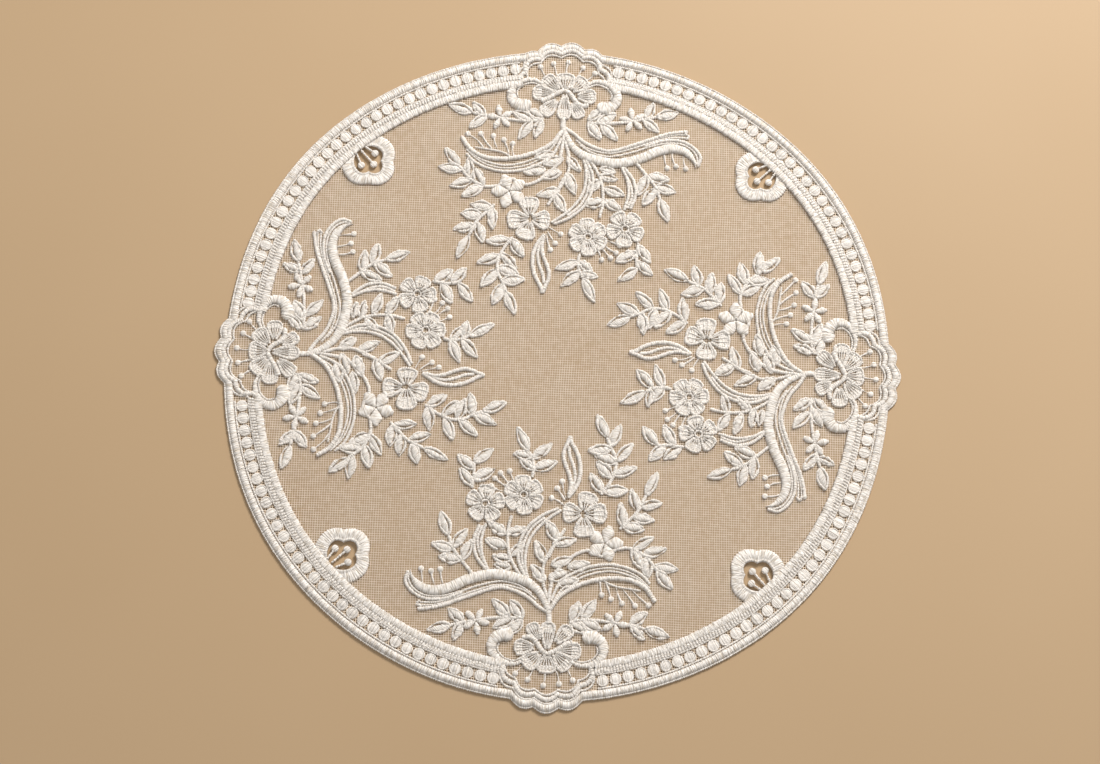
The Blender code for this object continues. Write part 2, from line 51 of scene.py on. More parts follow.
EDGE_WAVES = (
    EdgeWave(lobes=4, depth=0.9, phase=math.pi),
    EdgeWave(lobes=3, depth=0.4, phase=-1.1),
    EdgeWave(lobes=6, depth=0.4, phase=-2.7),
)

# The crown is a medallion's greatest distance from the middle of the cloth, and the scallop is where its
# middle scallop has its top. The last two are how far the stitching there, with the spray below it, lies
# off its even place.
Medallion = namedtuple("Medallion", "crown scallop x y")
MEDALLIONS = (
    Medallion(crown=155.2, scallop=2.6, x=-1.0, y=0.8),
    Medallion(crown=154.4, scallop=1.8, x=1.2, y=0.0),
    Medallion(crown=156.0, scallop=0.6, x=0.4, y=-0.4),
    Medallion(crown=155.0, scallop=-0.5, x=-0.5, y=-0.6),
)
MEDALLION_HALF = 20.5
MEDALLION_FALL = 6.1
SCALLOP_PITCH = 11.0
SCALLOP_DEPTH = 2.0
QUARTER = math.pi / 2


def polar(radius, angle):
    """The points at a radius from the middle, at an angle anticlockwise from +X."""
    return np.stack([radius * np.cos(angle), radius * np.sin(angle)], axis=-1)


def turned(points, angle):
    """The points turned anticlockwise about the middle of the cloth."""
    c, s = math.cos(angle), math.sin(angle)
    return np.asarray(points, float) @ np.array([[c, s], [-s, c]])


def scallop(x, middle):
    """How far the medallion's edge is drawn in at x: nothing at a scallop's crown, full at a notch."""
    return SCALLOP_DEPTH * (1 - np.abs(np.cos(math.pi * (x - middle) / SCALLOP_PITCH)))


def edge_radius(angle):
    """The ring's radius with a few cosine waves added, or the scalloped arch of the nearest medallion, a
    parabola about its crown, if that is larger."""
    radius = RING_RADIUS + sum(w.depth * np.cos(w.lobes * angle + w.phase) for w in EDGE_WAVES)
    nearest = np.round(angle / QUARTER - 1).astype(int) % len(MEDALLIONS)
    crown, middle, shift, _ = np.array(MEDALLIONS)[nearest].T
    x = RING_RADIUS * (QUARTER / 2 - (angle + QUARTER / 2) % QUARTER)
    arch = crown - MEDALLION_FALL * ((x - shift) / MEDALLION_HALF) ** 2 - scallop(x, middle)
    return np.where(np.abs(x - shift) < MEDALLION_HALF, np.maximum(radius, arch), radius)


around = np.linspace(0, 2 * math.pi, OUTLINE_POINTS, endpoint=False)
outline = polar(edge_radius(around), around)
CLOTH_MIDDLE = (outline.min(axis=0) + outline.max(axis=0)) / 2

# --- The net ground ----------------------------------------------------------------------------------
# One round of fine square-meshed cotton net, sheer enough to show what it lies on. It lies flat, a
# little puckered by the stitching, runs under the border to the edge cord, and is cut away under the
# blossoms' eyelets.
NET_LEVEL = 0.85
NET_RINGS = 64
NET_SPOKES = 400
NET_MARGIN = 2.0
NET_PUCKER = 0.12
NET_CUT = 9.6
BLOSSOM_AT = 128.5
Shift = namedtuple("Shift", "x y")
BLOSSOM_SHIFTS = (Shift(3.0, 0.6), Shift(2.0, -0.6), Shift(0.9, 0.8), Shift(-1.5, 1.0))

# A noise's scale is how many of its cells there are in a metre. The drift is in meshes. The density is a
# share of a thread's width: a slow noise and a fine one, less a little.
NET_PITCH = 1.06
NET_THREAD = 0.33
NET_CROWN = 0.62
NET_DRIFT, DRIFT_SCALE = 2.6, 16.0
NET_DENSITY, DENSITY_SCALE = 0.7, 26.0
NET_GRAIN, GRAIN_SCALE = 1.6, 520.0
NET_THINNING = 0.15
NET_TONE_SCALE = 300.0
# The colour of a thread's sides is painted shade.
NET_SHADE = (0.46, 0.335, 0.21, 1.0)
NET_COLOUR = (0.69, 0.585, 0.47, 1.0)
NET_LIGHT_COLOUR = (0.78, 0.665, 0.55, 1.0)


class Socket:
    """A shader value, which adds a Math node for each sum, difference, product or quotient with it."""

    def __init__(self, finish, link):
        self.finish = finish
        self.link = link

    def __add__(self, other):
        return self.finish.maths("ADD", self, other)

    def __radd__(self, other):
        return self.finish.maths("ADD", other, self)

    def __sub__(self, other):
        return self.finish.maths("SUBTRACT", self, other)

    def __rsub__(self, other):
        return self.finish.maths("SUBTRACT", other, self)

    def __mul__(self, other):
        return self.finish.maths("MULTIPLY", self, other)

    def __rmul__(self, other):
        return self.finish.maths("MULTIPLY", other, self)

    def __truediv__(self, other):
        return self.finish.maths("DIVIDE", self, other)

    def __rtruediv__(self, other):
        return self.finish.maths("DIVIDE", other, self)


class Finish:
    """A material with its one shader. Spaces in the names of sockets are written as underscores here, and
    i0 is a node's first socket."""

    def __init__(self, name, **constants):
        self.material = bpy.data.materials.new(name)
        self.material.use_nodes = True
        self.tree = self.material.node_tree
        self.shader = self.tree.nodes["Principled BSDF"]
        for socket, value in constants.items():
            self.shader.inputs[socket.replace("_", " ")].default_value = value

    def node(self, kind, settings=(), output=0, **inputs):
        """Adds a node, with its settings first and then the values or links of its sockets."""
        made = self.tree.nodes.new(kind)
        for name, value in dict(settings).items():
            setattr(made, name, value)
        for name, value in inputs.items():
            key = int(name[1:]) if name[1:].isdigit() else name.replace("_", " ")
            if isinstance(value, Socket):
                self.tree.links.new(value.link, made.inputs[key])
            else:
                made.inputs[key].default_value = value
        return Socket(self, made.outputs[output])

    def maths(self, operation, *values):
        """A Math node's value."""
        inputs = {f"i{i}": value for i, value in enumerate(values)}
        return self.node("ShaderNodeMath", {"operation": operation}, **inputs)

    def noise(self, place, scale, detail=2.0):
        """A soft random pattern from 0 to 1, mostly near its middle."""
        return self.node("ShaderNodeTexNoise", Vector=place, Scale=scale, Detail=detail)

    def blend(self, share, first, second):
        """A colour between two colours."""
        return self.node("ShaderNodeMix", {"data_type": "RGBA"}, 2, i0=share, i6=first, i7=second)

    def drive(self, **links):
        """Links values to the shader's own sockets."""
        for name, value in links.items():
            self.tree.links.new(value.link, self.shader.inputs[name.replace("_", " ")])
        return self.material


def placed(points, height):
    """Points of the cloth, in millimetres about its ring's middle, as metres about the solid's middle."""
    flat = (np.asarray(points, float) - CLOTH_MIDDLE) * MM
    return np.column_stack([flat, np.broadcast_to(height, len(flat)) * MM])


def net_mesh():
    """Rings of points from the middle out to just inside the edge. A point's height is a sum of three
    slow waves, 6 to 14 cm long, that fades out towards the edge. The cells over an eyelet are left out."""
    angle = np.linspace(0, 2 * math.pi, NET_SPOKES, endpoint=False)
    share = np.linspace(0, 1, NET_RINGS + 1)[1:, None]
    ring = share * (edge_radius(angle) - NET_MARGIN)
    flat = np.vstack([[(0, 0)], polar(ring, angle).reshape(-1, 2)])
    x, y = flat.T
    wave = np.sin(x / 9 + 0.7) * np.cos(y / 11) + np.sin((x + 2 * y) / 23) + np.cos((y - x) / 31 + 1)
    pull = np.clip(1 - np.hypot(x, y) / RING_RADIUS, 0, 1)
    i, j = np.meshgrid(np.arange(NET_RINGS - 1), np.arange(NET_SPOKES), indexing="ij")
    after = (j + 1) % NET_SPOKES
    first, second = 1 + i * NET_SPOKES, 1 + (i + 1) * NET_SPOKES
    cells = np.stack([first + j, second + j, second + after, first + after], axis=-1).reshape(-1, 4)
    middles = flat[cells].mean(axis=1)
    clear = np.ones(len(cells), bool)
    for number, shift in enumerate(BLOSSOM_SHIFTS):
        eyelet = turned((shift.x, BLOSSOM_AT + shift.y), QUARTER * (number + 0.5))
        clear &= np.hypot(*(middles - eyelet).T) > NET_CUT
    spokes = np.arange(NET_SPOKES)
    fan = np.column_stack([np.zeros(NET_SPOKES, int), 1 + spokes, 1 + (spokes + 1) % NET_SPOKES])
    mesh = bpy.data.meshes.new("net")
    points = placed(flat, NET_LEVEL + NET_PUCKER * wave * pull / 3)
    mesh.from_pydata(points.tolist(), [], fan.tolist() + cells[clear].tolist())
    mesh.shade_smooth()
    return mesh


def net_finish():
    """Two sets of fine threads that cross squarely, with the meshes between them clear. A point lies on a
    thread where its distance from the thread's middle, counted in meshes, is under the half width. A thread
    has its own colour along its crown and painted shade along its sides, and is thicker in some places."""
    made = Finish("net_thread", Roughness=0.8, Sheen_Weight=0.15)
    place = made.node("ShaderNodeTexCoord", output="Object")
    drift = made.noise(place, DRIFT_SCALE) * NET_DRIFT
    grain = made.noise(place, GRAIN_SCALE, detail=1.0) * NET_GRAIN
    density = made.noise(place, DENSITY_SCALE, detail=3.0) * NET_DENSITY + grain - NET_THINNING
    half_width = density * (NET_THREAD / NET_PITCH / 2)
    x = made.node("ShaderNodeSeparateXYZ", Vector=place)
    y = made.node("ShaderNodeSeparateXYZ", output="Y", Vector=place)
    threads, crowns = [], []
    for way in (x, y):
        count = way / (NET_PITCH * MM) + drift
        aside = made.maths("PINGPONG", count, 0.5)
        threads.append(made.maths("LESS_THAN", aside, half_width))
        crowns.append(made.maths("LESS_THAN", aside, half_width * NET_CROWN))
    bright = made.blend(made.noise(place, NET_TONE_SCALE), NET_COLOUR, NET_LIGHT_COLOUR)
    # A thread's sides get painted shade, and its crown keeps the thread's own colour.
    colour = made.blend(made.maths("MAXIMUM", *crowns), NET_SHADE, bright)
    return made.drive(Alpha=made.maths("MAXIMUM", *threads), Base_Color=colour)


net = bpy.data.objects.new("net", net_mesh())
bpy.context.scene.collection.objects.link(net)
net.data.materials.append(net_finish())
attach(net, "root")
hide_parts("doily")

# --- Satin stitching ---------------------------------------------------------------------------------
# Everything but the net is satin stitch in thick white cotton: threads laid side by side across a
# padded line, so that the line stands up as a rounded column. Cords, leaves, petals and bars are all such
# columns, and knobs and dots are small domes of it. The threads' direction is kept in the UV map.
SINK = 0.5
SPLINE_STEPS = 14
CORD_STEP = 0.34
CORD_ROUGH = 0.22
END_BLUNTNESS = 0.12
SWELL_SHARE = 1.4
CHANCE_SHARE = 0.8
FINE_HALF = 0.4
UNEVEN_RISE = 0.9
PATTERN_SHIFT = 90
MEAN_SWELL = 0.6
COLUMN_TURNS = np.radians([0, 33, 68, 112, 147, 180, 270])
chance = np.random.default_rng(11)

# The threads lie in bundles, and now and then a slit parts two bundles. The bundles are streaks of a noise
# drawn out along the threads, and a slit is where the noise is low. The slits and the hollows between
# threads are darkened with painted shade.
THREAD_PITCH = 0.42
THREAD_WAVER, WAVER_SCALE = 0.45, 700.0
BUNDLE = 0.95
STREAK_WIDTH = BUNDLE / 2
STREAK_LENGTH = 4.0
SLIT_BOTTOM, SLIT_BRINK = 0.38, 0.52
Ridge = namedtuple("Ridge", "height dark bright")
BUNDLE_RIDGE = Ridge(height=0.62, dark=0.3, bright=0.7)
THREAD_RIDGE = Ridge(height=0.28, dark=0.78, bright=0.22)
FUZZ_RIDGE = Ridge(height=0.2, dark=0.9, bright=0.24)
FUZZ_SCALE = 2600.0
RIDGE_DEPTH = 0.38
SATIN_ROUGHNESS = 0.52
FUZZ_ROUGHNESS = 0.25
THREAD_COLOUR = (0.93, 0.885, 0.84, 1.0)
# The painted shade in the satin's hollows between threads and in its slits.
GROOVE_SHADE_COLOUR = (0.61, 0.52, 0.41, 1.0)


def satin_finish(name):
    """Ridges along the threads: half waves for the threads, streaks for their bundles, and a fine fuzz.
    Each lifts the surface by its height. The colour is painted shade in the hollows: the share of thread
    colour, against the painted groove shade, is a product over the three: each one's dark share plus its
    bright share times the ridge."""
    made = Finish(name, Sheen_Weight=0.2, Sheen_Roughness=0.4, IOR=1.45)
    lay = made.node("ShaderNodeUVMap", {"uv_map": "threads"})
    place = made.node("ShaderNodeTexCoord", output="Object")
    fuzz = made.noise(place, FUZZ_SCALE, detail=3.0)
    waver = made.noise(place, WAVER_SCALE) * THREAD_WAVER
    beside = made.node("ShaderNodeSeparateXYZ", Vector=lay) + waver
    lengthways = made.node("ShaderNodeSeparateXYZ", output="Y", Vector=lay)
    drawn_out = made.node("ShaderNodeCombineXYZ", X=beside / STREAK_WIDTH, Y=lengthways / STREAK_LENGTH)
    streak = made.noise(drawn_out, 1.0, detail=1.0)
    bundle = made.node("ShaderNodeMapRange", Value=streak, From_Min=SLIT_BOTTOM, From_Max=SLIT_BRINK)
    thread = made.maths("SINE", made.maths("PINGPONG", beside / THREAD_PITCH, 0.5) * math.pi)
    ridges = ((bundle, BUNDLE_RIDGE), (thread, THREAD_RIDGE), (fuzz, FUZZ_RIDGE))
    height = sum(value * row.height for value, row in ridges)
    share = math.prod(value * row.bright + row.dark for value, row in ridges)
    # Painted shade: the colour goes towards the groove shade where the ridges are low.
    colour = made.blend(made.maths("MINIMUM", share, 1.0), GROOVE_SHADE_COLOUR, THREAD_COLOUR)
    bump = made.node("ShaderNodeBump", Height=height, Strength=1.0, Distance=RIDGE_DEPTH * MM)
    roughness = SATIN_ROUGHNESS + fuzz * FUZZ_ROUGHNESS
    return made.drive(Base_Color=colour, Roughness=roughness, Normal=bump)


satin = satin_finish("satin_stitch")


def lengths(path):
    """How far along the path each of its points is."""
    return np.concatenate([[0], np.cumsum(np.hypot(*np.diff(path, axis=0).T))])


def along(points, step, least=2):
    """Evenly spaced points, about a step apart, of a Catmull-Rom spline through the points."""
    points = np.asarray(points, float)
    ends = np.vstack([2 * points[0] - points[1], points, 2 * points[-1] - points[-2]])
    t = np.linspace(0, 1, SPLINE_STEPS, endpoint=False)[:, None]
    runs = []
    for a, b, c, d in zip(ends, ends[1:], ends[2:], ends[3:]):
        bend = (2 * a - 5 * b + 4 * c - d) * t**2 + (3 * b - a - 3 * c + d) * t**3
        runs.append(b + 0.5 * ((c - a) * t + bend))
    fine = np.vstack(runs + [points[-1:]])
    length = lengths(fine)
    places = np.linspace(0, length[-1], max(least, round(length[-1] / step)) + 1)
    return np.stack([np.interp(places, length, fine[:, i]) for i in (0, 1)], axis=1)


def across(path, loop=False):
    """The direction to the left of the path at each of its points."""
    if loop:
        way = np.roll(path, -1, axis=0) - np.roll(path, 1, axis=0)
    else:
        way = np.gradient(path, axis=0)
    way = way / np.maximum(np.hypot(*way.T), 1e-9)[:, None]
    return np.stack([-way[:, 1], way[:, 0]], axis=1)


def round_ends(path, half):
    """The half width, drawn in to a quarter circle with a blunt tip at both ends of the path."""
    run = lengths(path)
    near = np.minimum(run, run[-1] - run) / half
    return half * np.sqrt(1 - np.clip(1 - near - END_BLUNTNESS, 0, 1) ** 2)


def swelling(turn):
    """A rounded swelling at each half turn, the size of its sine, less about its mean."""
    return np.abs(np.sin(turn)) - MEAN_SWELL


RoundPoint = namedtuple("RoundPoint", "share lift")
KNOB_PROFILE = (
    RoundPoint(0.92, -1),
    RoundPoint(1.0, 0.12),
    RoundPoint(0.9, 0.55),
    RoundPoint(0.62, 0.88),
)
BUD_PROFILE = (
    RoundPoint(0.92, -1),
    RoundPoint(1.0, 0.15),
    RoundPoint(0.96, 0.65),
    RoundPoint(0.85, 0.85),
    RoundPoint(0.7, 0.5),
    RoundPoint(0.56, 0.78),
    RoundPoint(0.3, 1.05),
)
FURROW_START, FURROW_END = 0.2, 0.8
CHAIN_PITCH = 1.5
CHAIN_NECK = 0.6


class Stitching:
    """Satin columns and domes gathered into one mesh, with the threads' direction as its UV map."""

    def __init__(self):
        self.points = []
        self.heights = []
        self.faces = []
        self.threads = []
        self.count = 0

    def tube(self, points, heights, run, aside, slant, loop):
        """Rings of points carried along a path. The grid's first axis is the path, its other the ring."""
        n, k = points.shape[:2]
        i, j = np.meshgrid(np.arange(n if loop else n - 1), np.arange(k), indexing="ij")
        after, beside = (i + 1) % n, (j + 1) % k
        quads = np.stack([i * k + j, i * k + beside, after * k + beside, after * k + j], axis=-1)
        runs = np.append(run, run[-1] + run[1] - run[0]) if loop else run
        aside = np.broadcast_to(aside, (n, k))
        v = np.stack([aside[i, j], aside[i, beside], aside[after, beside], aside[after, j]], axis=-1)
        u = np.stack([runs[i], runs[i], runs[i + 1], runs[i + 1]], axis=-1) + slant * v
        self.points.append(points.reshape(-1, 2))
        self.heights.append(heights.ravel())
        self.faces.append(quads.reshape(-1, 4) + self.count)
        self.threads.append(np.stack([u, v], axis=-1).reshape(-1, 4, 2))
        if not loop:
            ends = np.array([np.arange(k)[::-1], np.arange(k) + (n - 1) * k])
            v = np.array([aside[0, ::-1], aside[-1]])
            self.faces.append(ends + self.count)
            self.threads.append(np.stack([v * slant + run[[0, -1]][:, None], v], axis=-1))
        self.count += n * k

    def column(self, path, half, rise, slant=0.0, rough=CORD_ROUGH, square=1.0, loop=False):
        """A half ellipse, as high as the rise and as wide as the half widths, carried along the path, with
        a shallow point below. It swells at each bundle of threads and is uneven besides, by about the
        rough distance. Slanted threads lean across it, and a square power under 1 flattens its top."""
        n = len(path)
        run = lengths(path)
        swell = swelling(math.pi * run / BUNDLE + chance.uniform(0, 3))
        half = np.broadcast_to(half, n)
        uneven = rough * (SWELL_SHARE * swell + chance.uniform(-CHANCE_SHARE, CHANCE_SHARE, n))
        uneven = uneven * np.minimum(half / FINE_HALF, 1)
        half = half + uneven
        rise = np.broadcast_to(rise, n) + UNEVEN_RISE * uneven
        lean, up = np.cos(COLUMN_TURNS), np.sin(COLUMN_TURNS)
        lean, up = np.sign(lean) * np.abs(lean) ** square, np.sign(up) * np.abs(up) ** square
        aside = lean * half[:, None]
        points = path[:, None] + aside[:, :, None] * across(path, loop)[:, None]
        heights = NET_LEVEL + np.where(up > 0, up * rise[:, None], up * SINK)
        self.tube(points, heights, run + chance.uniform(0, PATTERN_SHIFT), aside, slant, loop)

    def cord(self, points, half, rise, step=CORD_STEP, rough=CORD_ROUGH):
        """A column of one width with round ends along a smooth curve."""
        path = along(points, step)
        self.column(path, round_ends(path, half), rise, rough=rough)

    def chain(self, points, half, rise):
        """A fine cord in chain stitch: its width swells and narrows at every link."""
        path = along(points, CHAIN_PITCH / 4)
        link = np.abs(np.sin(math.pi * lengths(path) / CHAIN_PITCH))
        swell = CHAIN_NECK + (1 - CHAIN_NECK) * link
        self.column(path, half * swell, rise * swell, rough=0.05)

    def dome(self, centre, radius, rise, sides, groove=0.0):
        """A round of satin: rings of points on a flattened half ball over a flat underside. A groove share
        winds a furrow round it, as in a rosebud. Its threads point to the middle of the cloth."""
        centre = np.asarray(centre, float)
        angle = np.linspace(0, 2 * math.pi, sides, endpoint=False) + chance.uniform(0, 1)
        shares, lifts = np.array(BUD_PROFILE if groove else KNOB_PROFILE).T
        furrow = ((shares > FURROW_START) & (shares < FURROW_END))[:, None]
        wound = 1 + groove * np.cos(angle + chance.uniform(0, 6)) * furrow
        round_out = radius * shares[:, None] * wound * (1 + chance.uniform(-0.03, 0.03, sides))
        rings = centre + polar(round_out, angle)
        flat = np.vstack([rings.reshape(-1, 2), [centre]])
        lifts = np.where(lifts < 0, -SINK, lifts * rise)
        heights = NET_LEVEL + np.append(np.repeat(lifts, sides), rise)
        i, j = np.meshgrid(np.arange(len(shares) - 1), np.arange(sides), indexing="ij")
        beside = (j + 1) % sides
        low, high = i * sides, (i + 1) * sides
        quads = np.stack([low + j, low + beside, high + beside, high + j], axis=-1).reshape(-1, 4)
        spokes = np.arange(sides)
        last = (len(shares) - 1) * sides
        top = np.full(sides, last + sides)
        crown = np.column_stack([last + spokes, last + (spokes + 1) % sides, top])
        way = centre / math.hypot(*centre)
        run = (flat - centre) @ np.array([-way[1], way[0]]) + chance.uniform(0, PATTERN_SHIFT)
        self.points.append(flat)
        self.heights.append(heights)
        for faces in (quads, crown, spokes[::-1][None]):
            self.faces.append(faces + self.count)
            self.threads.append(np.stack([run[faces], run[faces] * 0], axis=-1))
        self.count += len(flat)

    def piece(self, name, turn=0.0, shift=(0, 0)):
        """The finished piece, shifted off its even place and turned about the middle of the cloth."""
        flat = turned(np.vstack(self.points) + np.asarray(shift, float), turn)
        mesh = bpy.data.meshes.new(name)
        faces = [face for group in self.faces for face in group.tolist()]
        mesh.from_pydata(placed(flat, np.concatenate(self.heights)).tolist(), [], faces)
        threads = mesh.uv_layers.new(name="threads")
        threads.data.foreach_set("uv", np.concatenate([group.ravel() for group in self.threads]))
        mesh.shade_smooth()
        mesh.materials.append(satin)
        made = bpy.data.objects.new(name, mesh)
        bpy.context.scene.collection.objects.link(made)
        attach(made, "root")
        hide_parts("doily")


# --- The edge cord -----------------------------------------------------------------------------------
# The cut edge is bound by one wide satin cord, its threads running out from the middle, with a thin rim
# cord at the very edge. It follows the scallops of the medallions.
EDGE_STEPS = 3900
EDGE_STITCH = 0.98
EDGE_SWELL = 0.13
TOOTH_REACH = 0.3
TOOTH_CHANCE = 0.5
EdgePoint = namedtuple("EdgePoint", "inset height tooth")
EDGE_PROFILE = (
    EdgePoint(4.1, 0.25, 0.0),
    EdgePoint(0.4, 0.1, 0.5),
    EdgePoint(0.0, 0.5, 1.0),
    EdgePoint(0.1, 0.95, 0.9),
    EdgePoint(0.36, 1.2, 0.5),
    EdgePoint(0.62, 1.05, 0.3),
    EdgePoint(0.82, 0.65, 0.1),
    EdgePoint(1.04, 1.2, 0.1),
    EdgePoint(1.5, 1.75, 0.0),
    EdgePoint(2.6, 1.95, 0.0),
    EdgePoint(3.6, 1.6, -0.3),
    EdgePoint(4.0, 0.8, -0.8),
)


def teeth(turn):
    """How far the stitches stand out: a swelling at each half turn, and a little more or less by chance."""
    return swelling(turn) + chance.uniform(-TOOTH_CHANCE, TOOTH_CHANCE, len(turn))


def edge_cord():
    """The profile carried round the outline, with teeth that stand out and up a little."""
    angle = -np.linspace(0, 2 * math.pi, EDGE_STEPS, endpoint=False)
    radius = edge_radius(angle)
    run = lengths(polar(radius, angle))
    tooth = teeth(math.pi * run / EDGE_STITCH)
    inset, height, share = np.array(EDGE_PROFILE).T
    reach = radius[:, None] - inset + TOOTH_REACH * tooth[:, None] * share
    heights = height * (1 + EDGE_SWELL * tooth[:, None] * (height > 1))
    made = Stitching()
    made.tube(polar(reach, angle[:, None]), heights, run, inset, slant=0.0, loop=True)
    return made


edge_cord().piece("edge_cord")

# --- The border's rows -------------------------------------------------------------------------------
# Inside the edge cord run a chain-stitched cord, a row of round satin buds with a little open net
# between them, another cord, a ladder of short slanted bars on a low satin ground, and a satin band. The
# rows stop at the medallions' arches.
BORDER_GAP = 22.6
BORDER_STEPS = 560
BORDER_WANDER = 0.12
DOTS_PER_QUARTER = 32
DOT_INSET = 7.6
DOT_RADIUS = 2.72
DOT_RISE = 0.85
DOT_SIDES = 13
DOT_GROOVE = 0.2
GROUND_MIDDLE = 12.1
GROUND_HALF = 1.4
GROUND_RISE = 0.5
BAR_PITCH = 1.36
BAR_HALF = 0.6
BAR_START, BAR_END = 10.8, 13.3
BAR_SLANT = 0.4
BAR_RISES = (0.7, 1.0, 1.05, 1.05)
BAND_MIDDLE = 14.85
BAND_HALF = 1.85
BAND_RISE = 1.15
BorderCord = namedtuple("BorderCord", "inset half rise")
BORDER_CHAINS = (
    BorderCord(inset=4.6, half=0.52, rise=0.8),
    BorderCord(inset=10.65, half=0.48, rise=0.85),
)

chains = Stitching()
ladder = Stitching()
dots = Stitching()
for quarter in range(4):
    turn = QUARTER * quarter
    start = (BORDER_GAP + DOT_RADIUS) / RING_RADIUS
    angle = turn + np.linspace(start, QUARTER - start, DOTS_PER_QUARTER)
    inset = DOT_INSET - chance.uniform(-BORDER_WANDER, BORDER_WANDER, len(angle))
    for centre in polar(edge_radius(angle) - inset, angle):
        radius = DOT_RADIUS * chance.uniform(0.96, 1.02)
        dots.dome(centre, radius, DOT_RISE, DOT_SIDES, DOT_GROOVE)
    start = BORDER_GAP / RING_RADIUS
    angle = turn + np.linspace(start, QUARTER - start, BORDER_STEPS)
    for row in BORDER_CHAINS:
        chains.chain(polar(edge_radius(angle) - row.inset, angle), row.half, row.rise)
    band = polar(edge_radius(angle) - BAND_MIDDLE, angle)
    ladder.column(band, BAND_HALF, BAND_RISE, rough=0.26, square=0.6)
    ground = polar(edge_radius(angle[::2]) - GROUND_MIDDLE, angle[::2])
    ladder.column(ground, GROUND_HALF, GROUND_RISE, rough=0.05, square=0.4)
    bars = round((QUARTER - 2 * start) * (RING_RADIUS - BAR_END) / BAR_PITCH)
    for bar in turn + start + (QUARTER - 2 * start) / bars * np.arange(bars + 1):
        inset = np.linspace(BAR_START, BAR_END, len(BAR_RISES))
        inset = inset + chance.uniform(-BORDER_WANDER, BORDER_WANDER)
        slanted = bar + BAR_SLANT / RING_RADIUS * np.linspace(-0.5, 0.5, len(BAR_RISES))
        path = polar(edge_radius(slanted) - inset, slanted)
        half = BAR_HALF * chance.uniform(0.88, 1.04)
        ladder.column(path, half, BAR_RISES, square=0.6, rough=0.06)
chains.piece("border_cords")
ladder.piece("border_ladder")
dots.piece("border_dots")

# --- The medallions ----------------------------------------------------------------------------------
# Each one is an arch of net inside a double cord, filled by an open eight-petalled flower with stamens.
# Two scrolls curl away below it. A petal is a rim cord round a fan of loose satin threads. The places are
# those of the medallion on +Y, and the others are turned to their quarters.
ARCH_HALF = 21.0
ARCH_FOOT = 134.0
ARCH_HEIGHT = 16.2
ARCH_SWEEP = math.radians(176)
ARCH_SCALLOP = 0.95
ARCH_STEPS = 180
FINE_STEP = 0.36
ArchCord = namedtuple("ArchCord", "inset half rise")
ARCH_CORDS = (
    ArchCord(inset=0.0, half=1.15, rise=1.1),
    ArchCord(inset=1.95, half=0.45, rise=0.65),
    ArchCord(inset=-1.9, half=0.5, rise=0.6),
)
PetalPoint = namedtuple("PetalPoint", "out aside")
PETAL_OUTLINE = (
    PetalPoint(0.02, 0.09),
    PetalPoint(0.34, 0.33),
    PetalPoint(0.66, 0.49),
    PetalPoint(0.89, 0.45),
    PetalPoint(1.0, 0.2),
)
PETAL_RISE = 0.95
PETAL_GROUND = 0.42
PETAL_LEAN = 0.36
PETAL_REACH = 0.95
PETAL_SHORTENING = 0.7
PETAL_FOOT = 0.08
PETAL_FOOT_SPREAD = 0.2
PETAL_BOW = 0.14
THREAD_ROOT = 0.22
THREAD_FILL = 0.24
Petal = namedtuple("Petal", "root end width")
MEDALLION_PETALS = (
    Petal(root=(-2.5, 130.0), end=(-9.6, 136.4), width=8.4),
    Petal(root=(3.5, 130.0), end=(10.2, 136.2), width=8.2),
    Petal(root=(0.5, 130.5), end=(0.6, 138.9), width=9.0),
    Petal(root=(-4, 128.4), end=(-14.6, 128.8), width=7.8),
    Petal(root=(6, 127.5), end=(15.0, 127.8), width=7.6),
    Petal(root=(-3.0, 125.5), end=(-9.8, 118.2), width=7.2),
    Petal(root=(4.0, 124.5), end=(8.2, 117.0), width=6.6),
    Petal(root=(0.5, 128.5), end=(0.2, 116.0), width=6.8),
)
PETAL_THREADS = 5
PETAL_OPEN = 0.62
STEM_CORDS = (
    [(-10.5, 124.6), (-7.5, 126.0), (-3.5, 128.6), (0.3, 130.6)],
    [(0.3, 130.6), (3.0, 128.6), (5.4, 125.2), (8.2, 123.2), (11.6, 123.4)],
)
STEM_CORD_HALF = 1.15
STEM_CORD_RISE = 1.3
SCROLLS = (
    [(-9.6, 133.2), (-14.6, 135.0), (-20.4, 133.8), (-24.0, 129.8), (-23.6, 125.0), (-19.6, 122.4),
     (-14.8, 123.0)],
    [(10.0, 133.0), (15.0, 135.2), (20.8, 133.8), (24.6, 129.6), (24.0, 125.0), (20.0, 122.4),
     (15.4, 123.0)],
)
SCROLL_START = 0.7
SCROLL_HALF = 3.5
SCROLL_GROWTH = 1.3
SCROLL_TIP = 0.985
SCROLL_LOW, SCROLL_GAIN = 0.8, 0.7
SCROLL_RIM_GAP = 0.55
SCROLL_RIM_SHARE = 0.72
SCROLL_RIM_HALF = 0.4
SCROLL_RIM_RISE = 0.5
Stamen = namedtuple("Stamen", "foot knob")
MEDALLION_STAMENS = (
    Stamen((-7.5, 135), (-11.2, 141.5)),
    Stamen((-3.5, 137), (-5.2, 143.3)),
    Stamen((1, 138), (1.6, 144.2)),
    Stamen((6, 136.5), (8.5, 141.8)),
    Stamen((9.5, 135), (14, 139.3)),
)
STALK_HALF = 0.34
STALK_RISE = 0.5
STALK_BOW = 0.08
KNOB_RADIUS = 1.35
KNOB_RISE = 0.95
KNOB_SIDES = 9


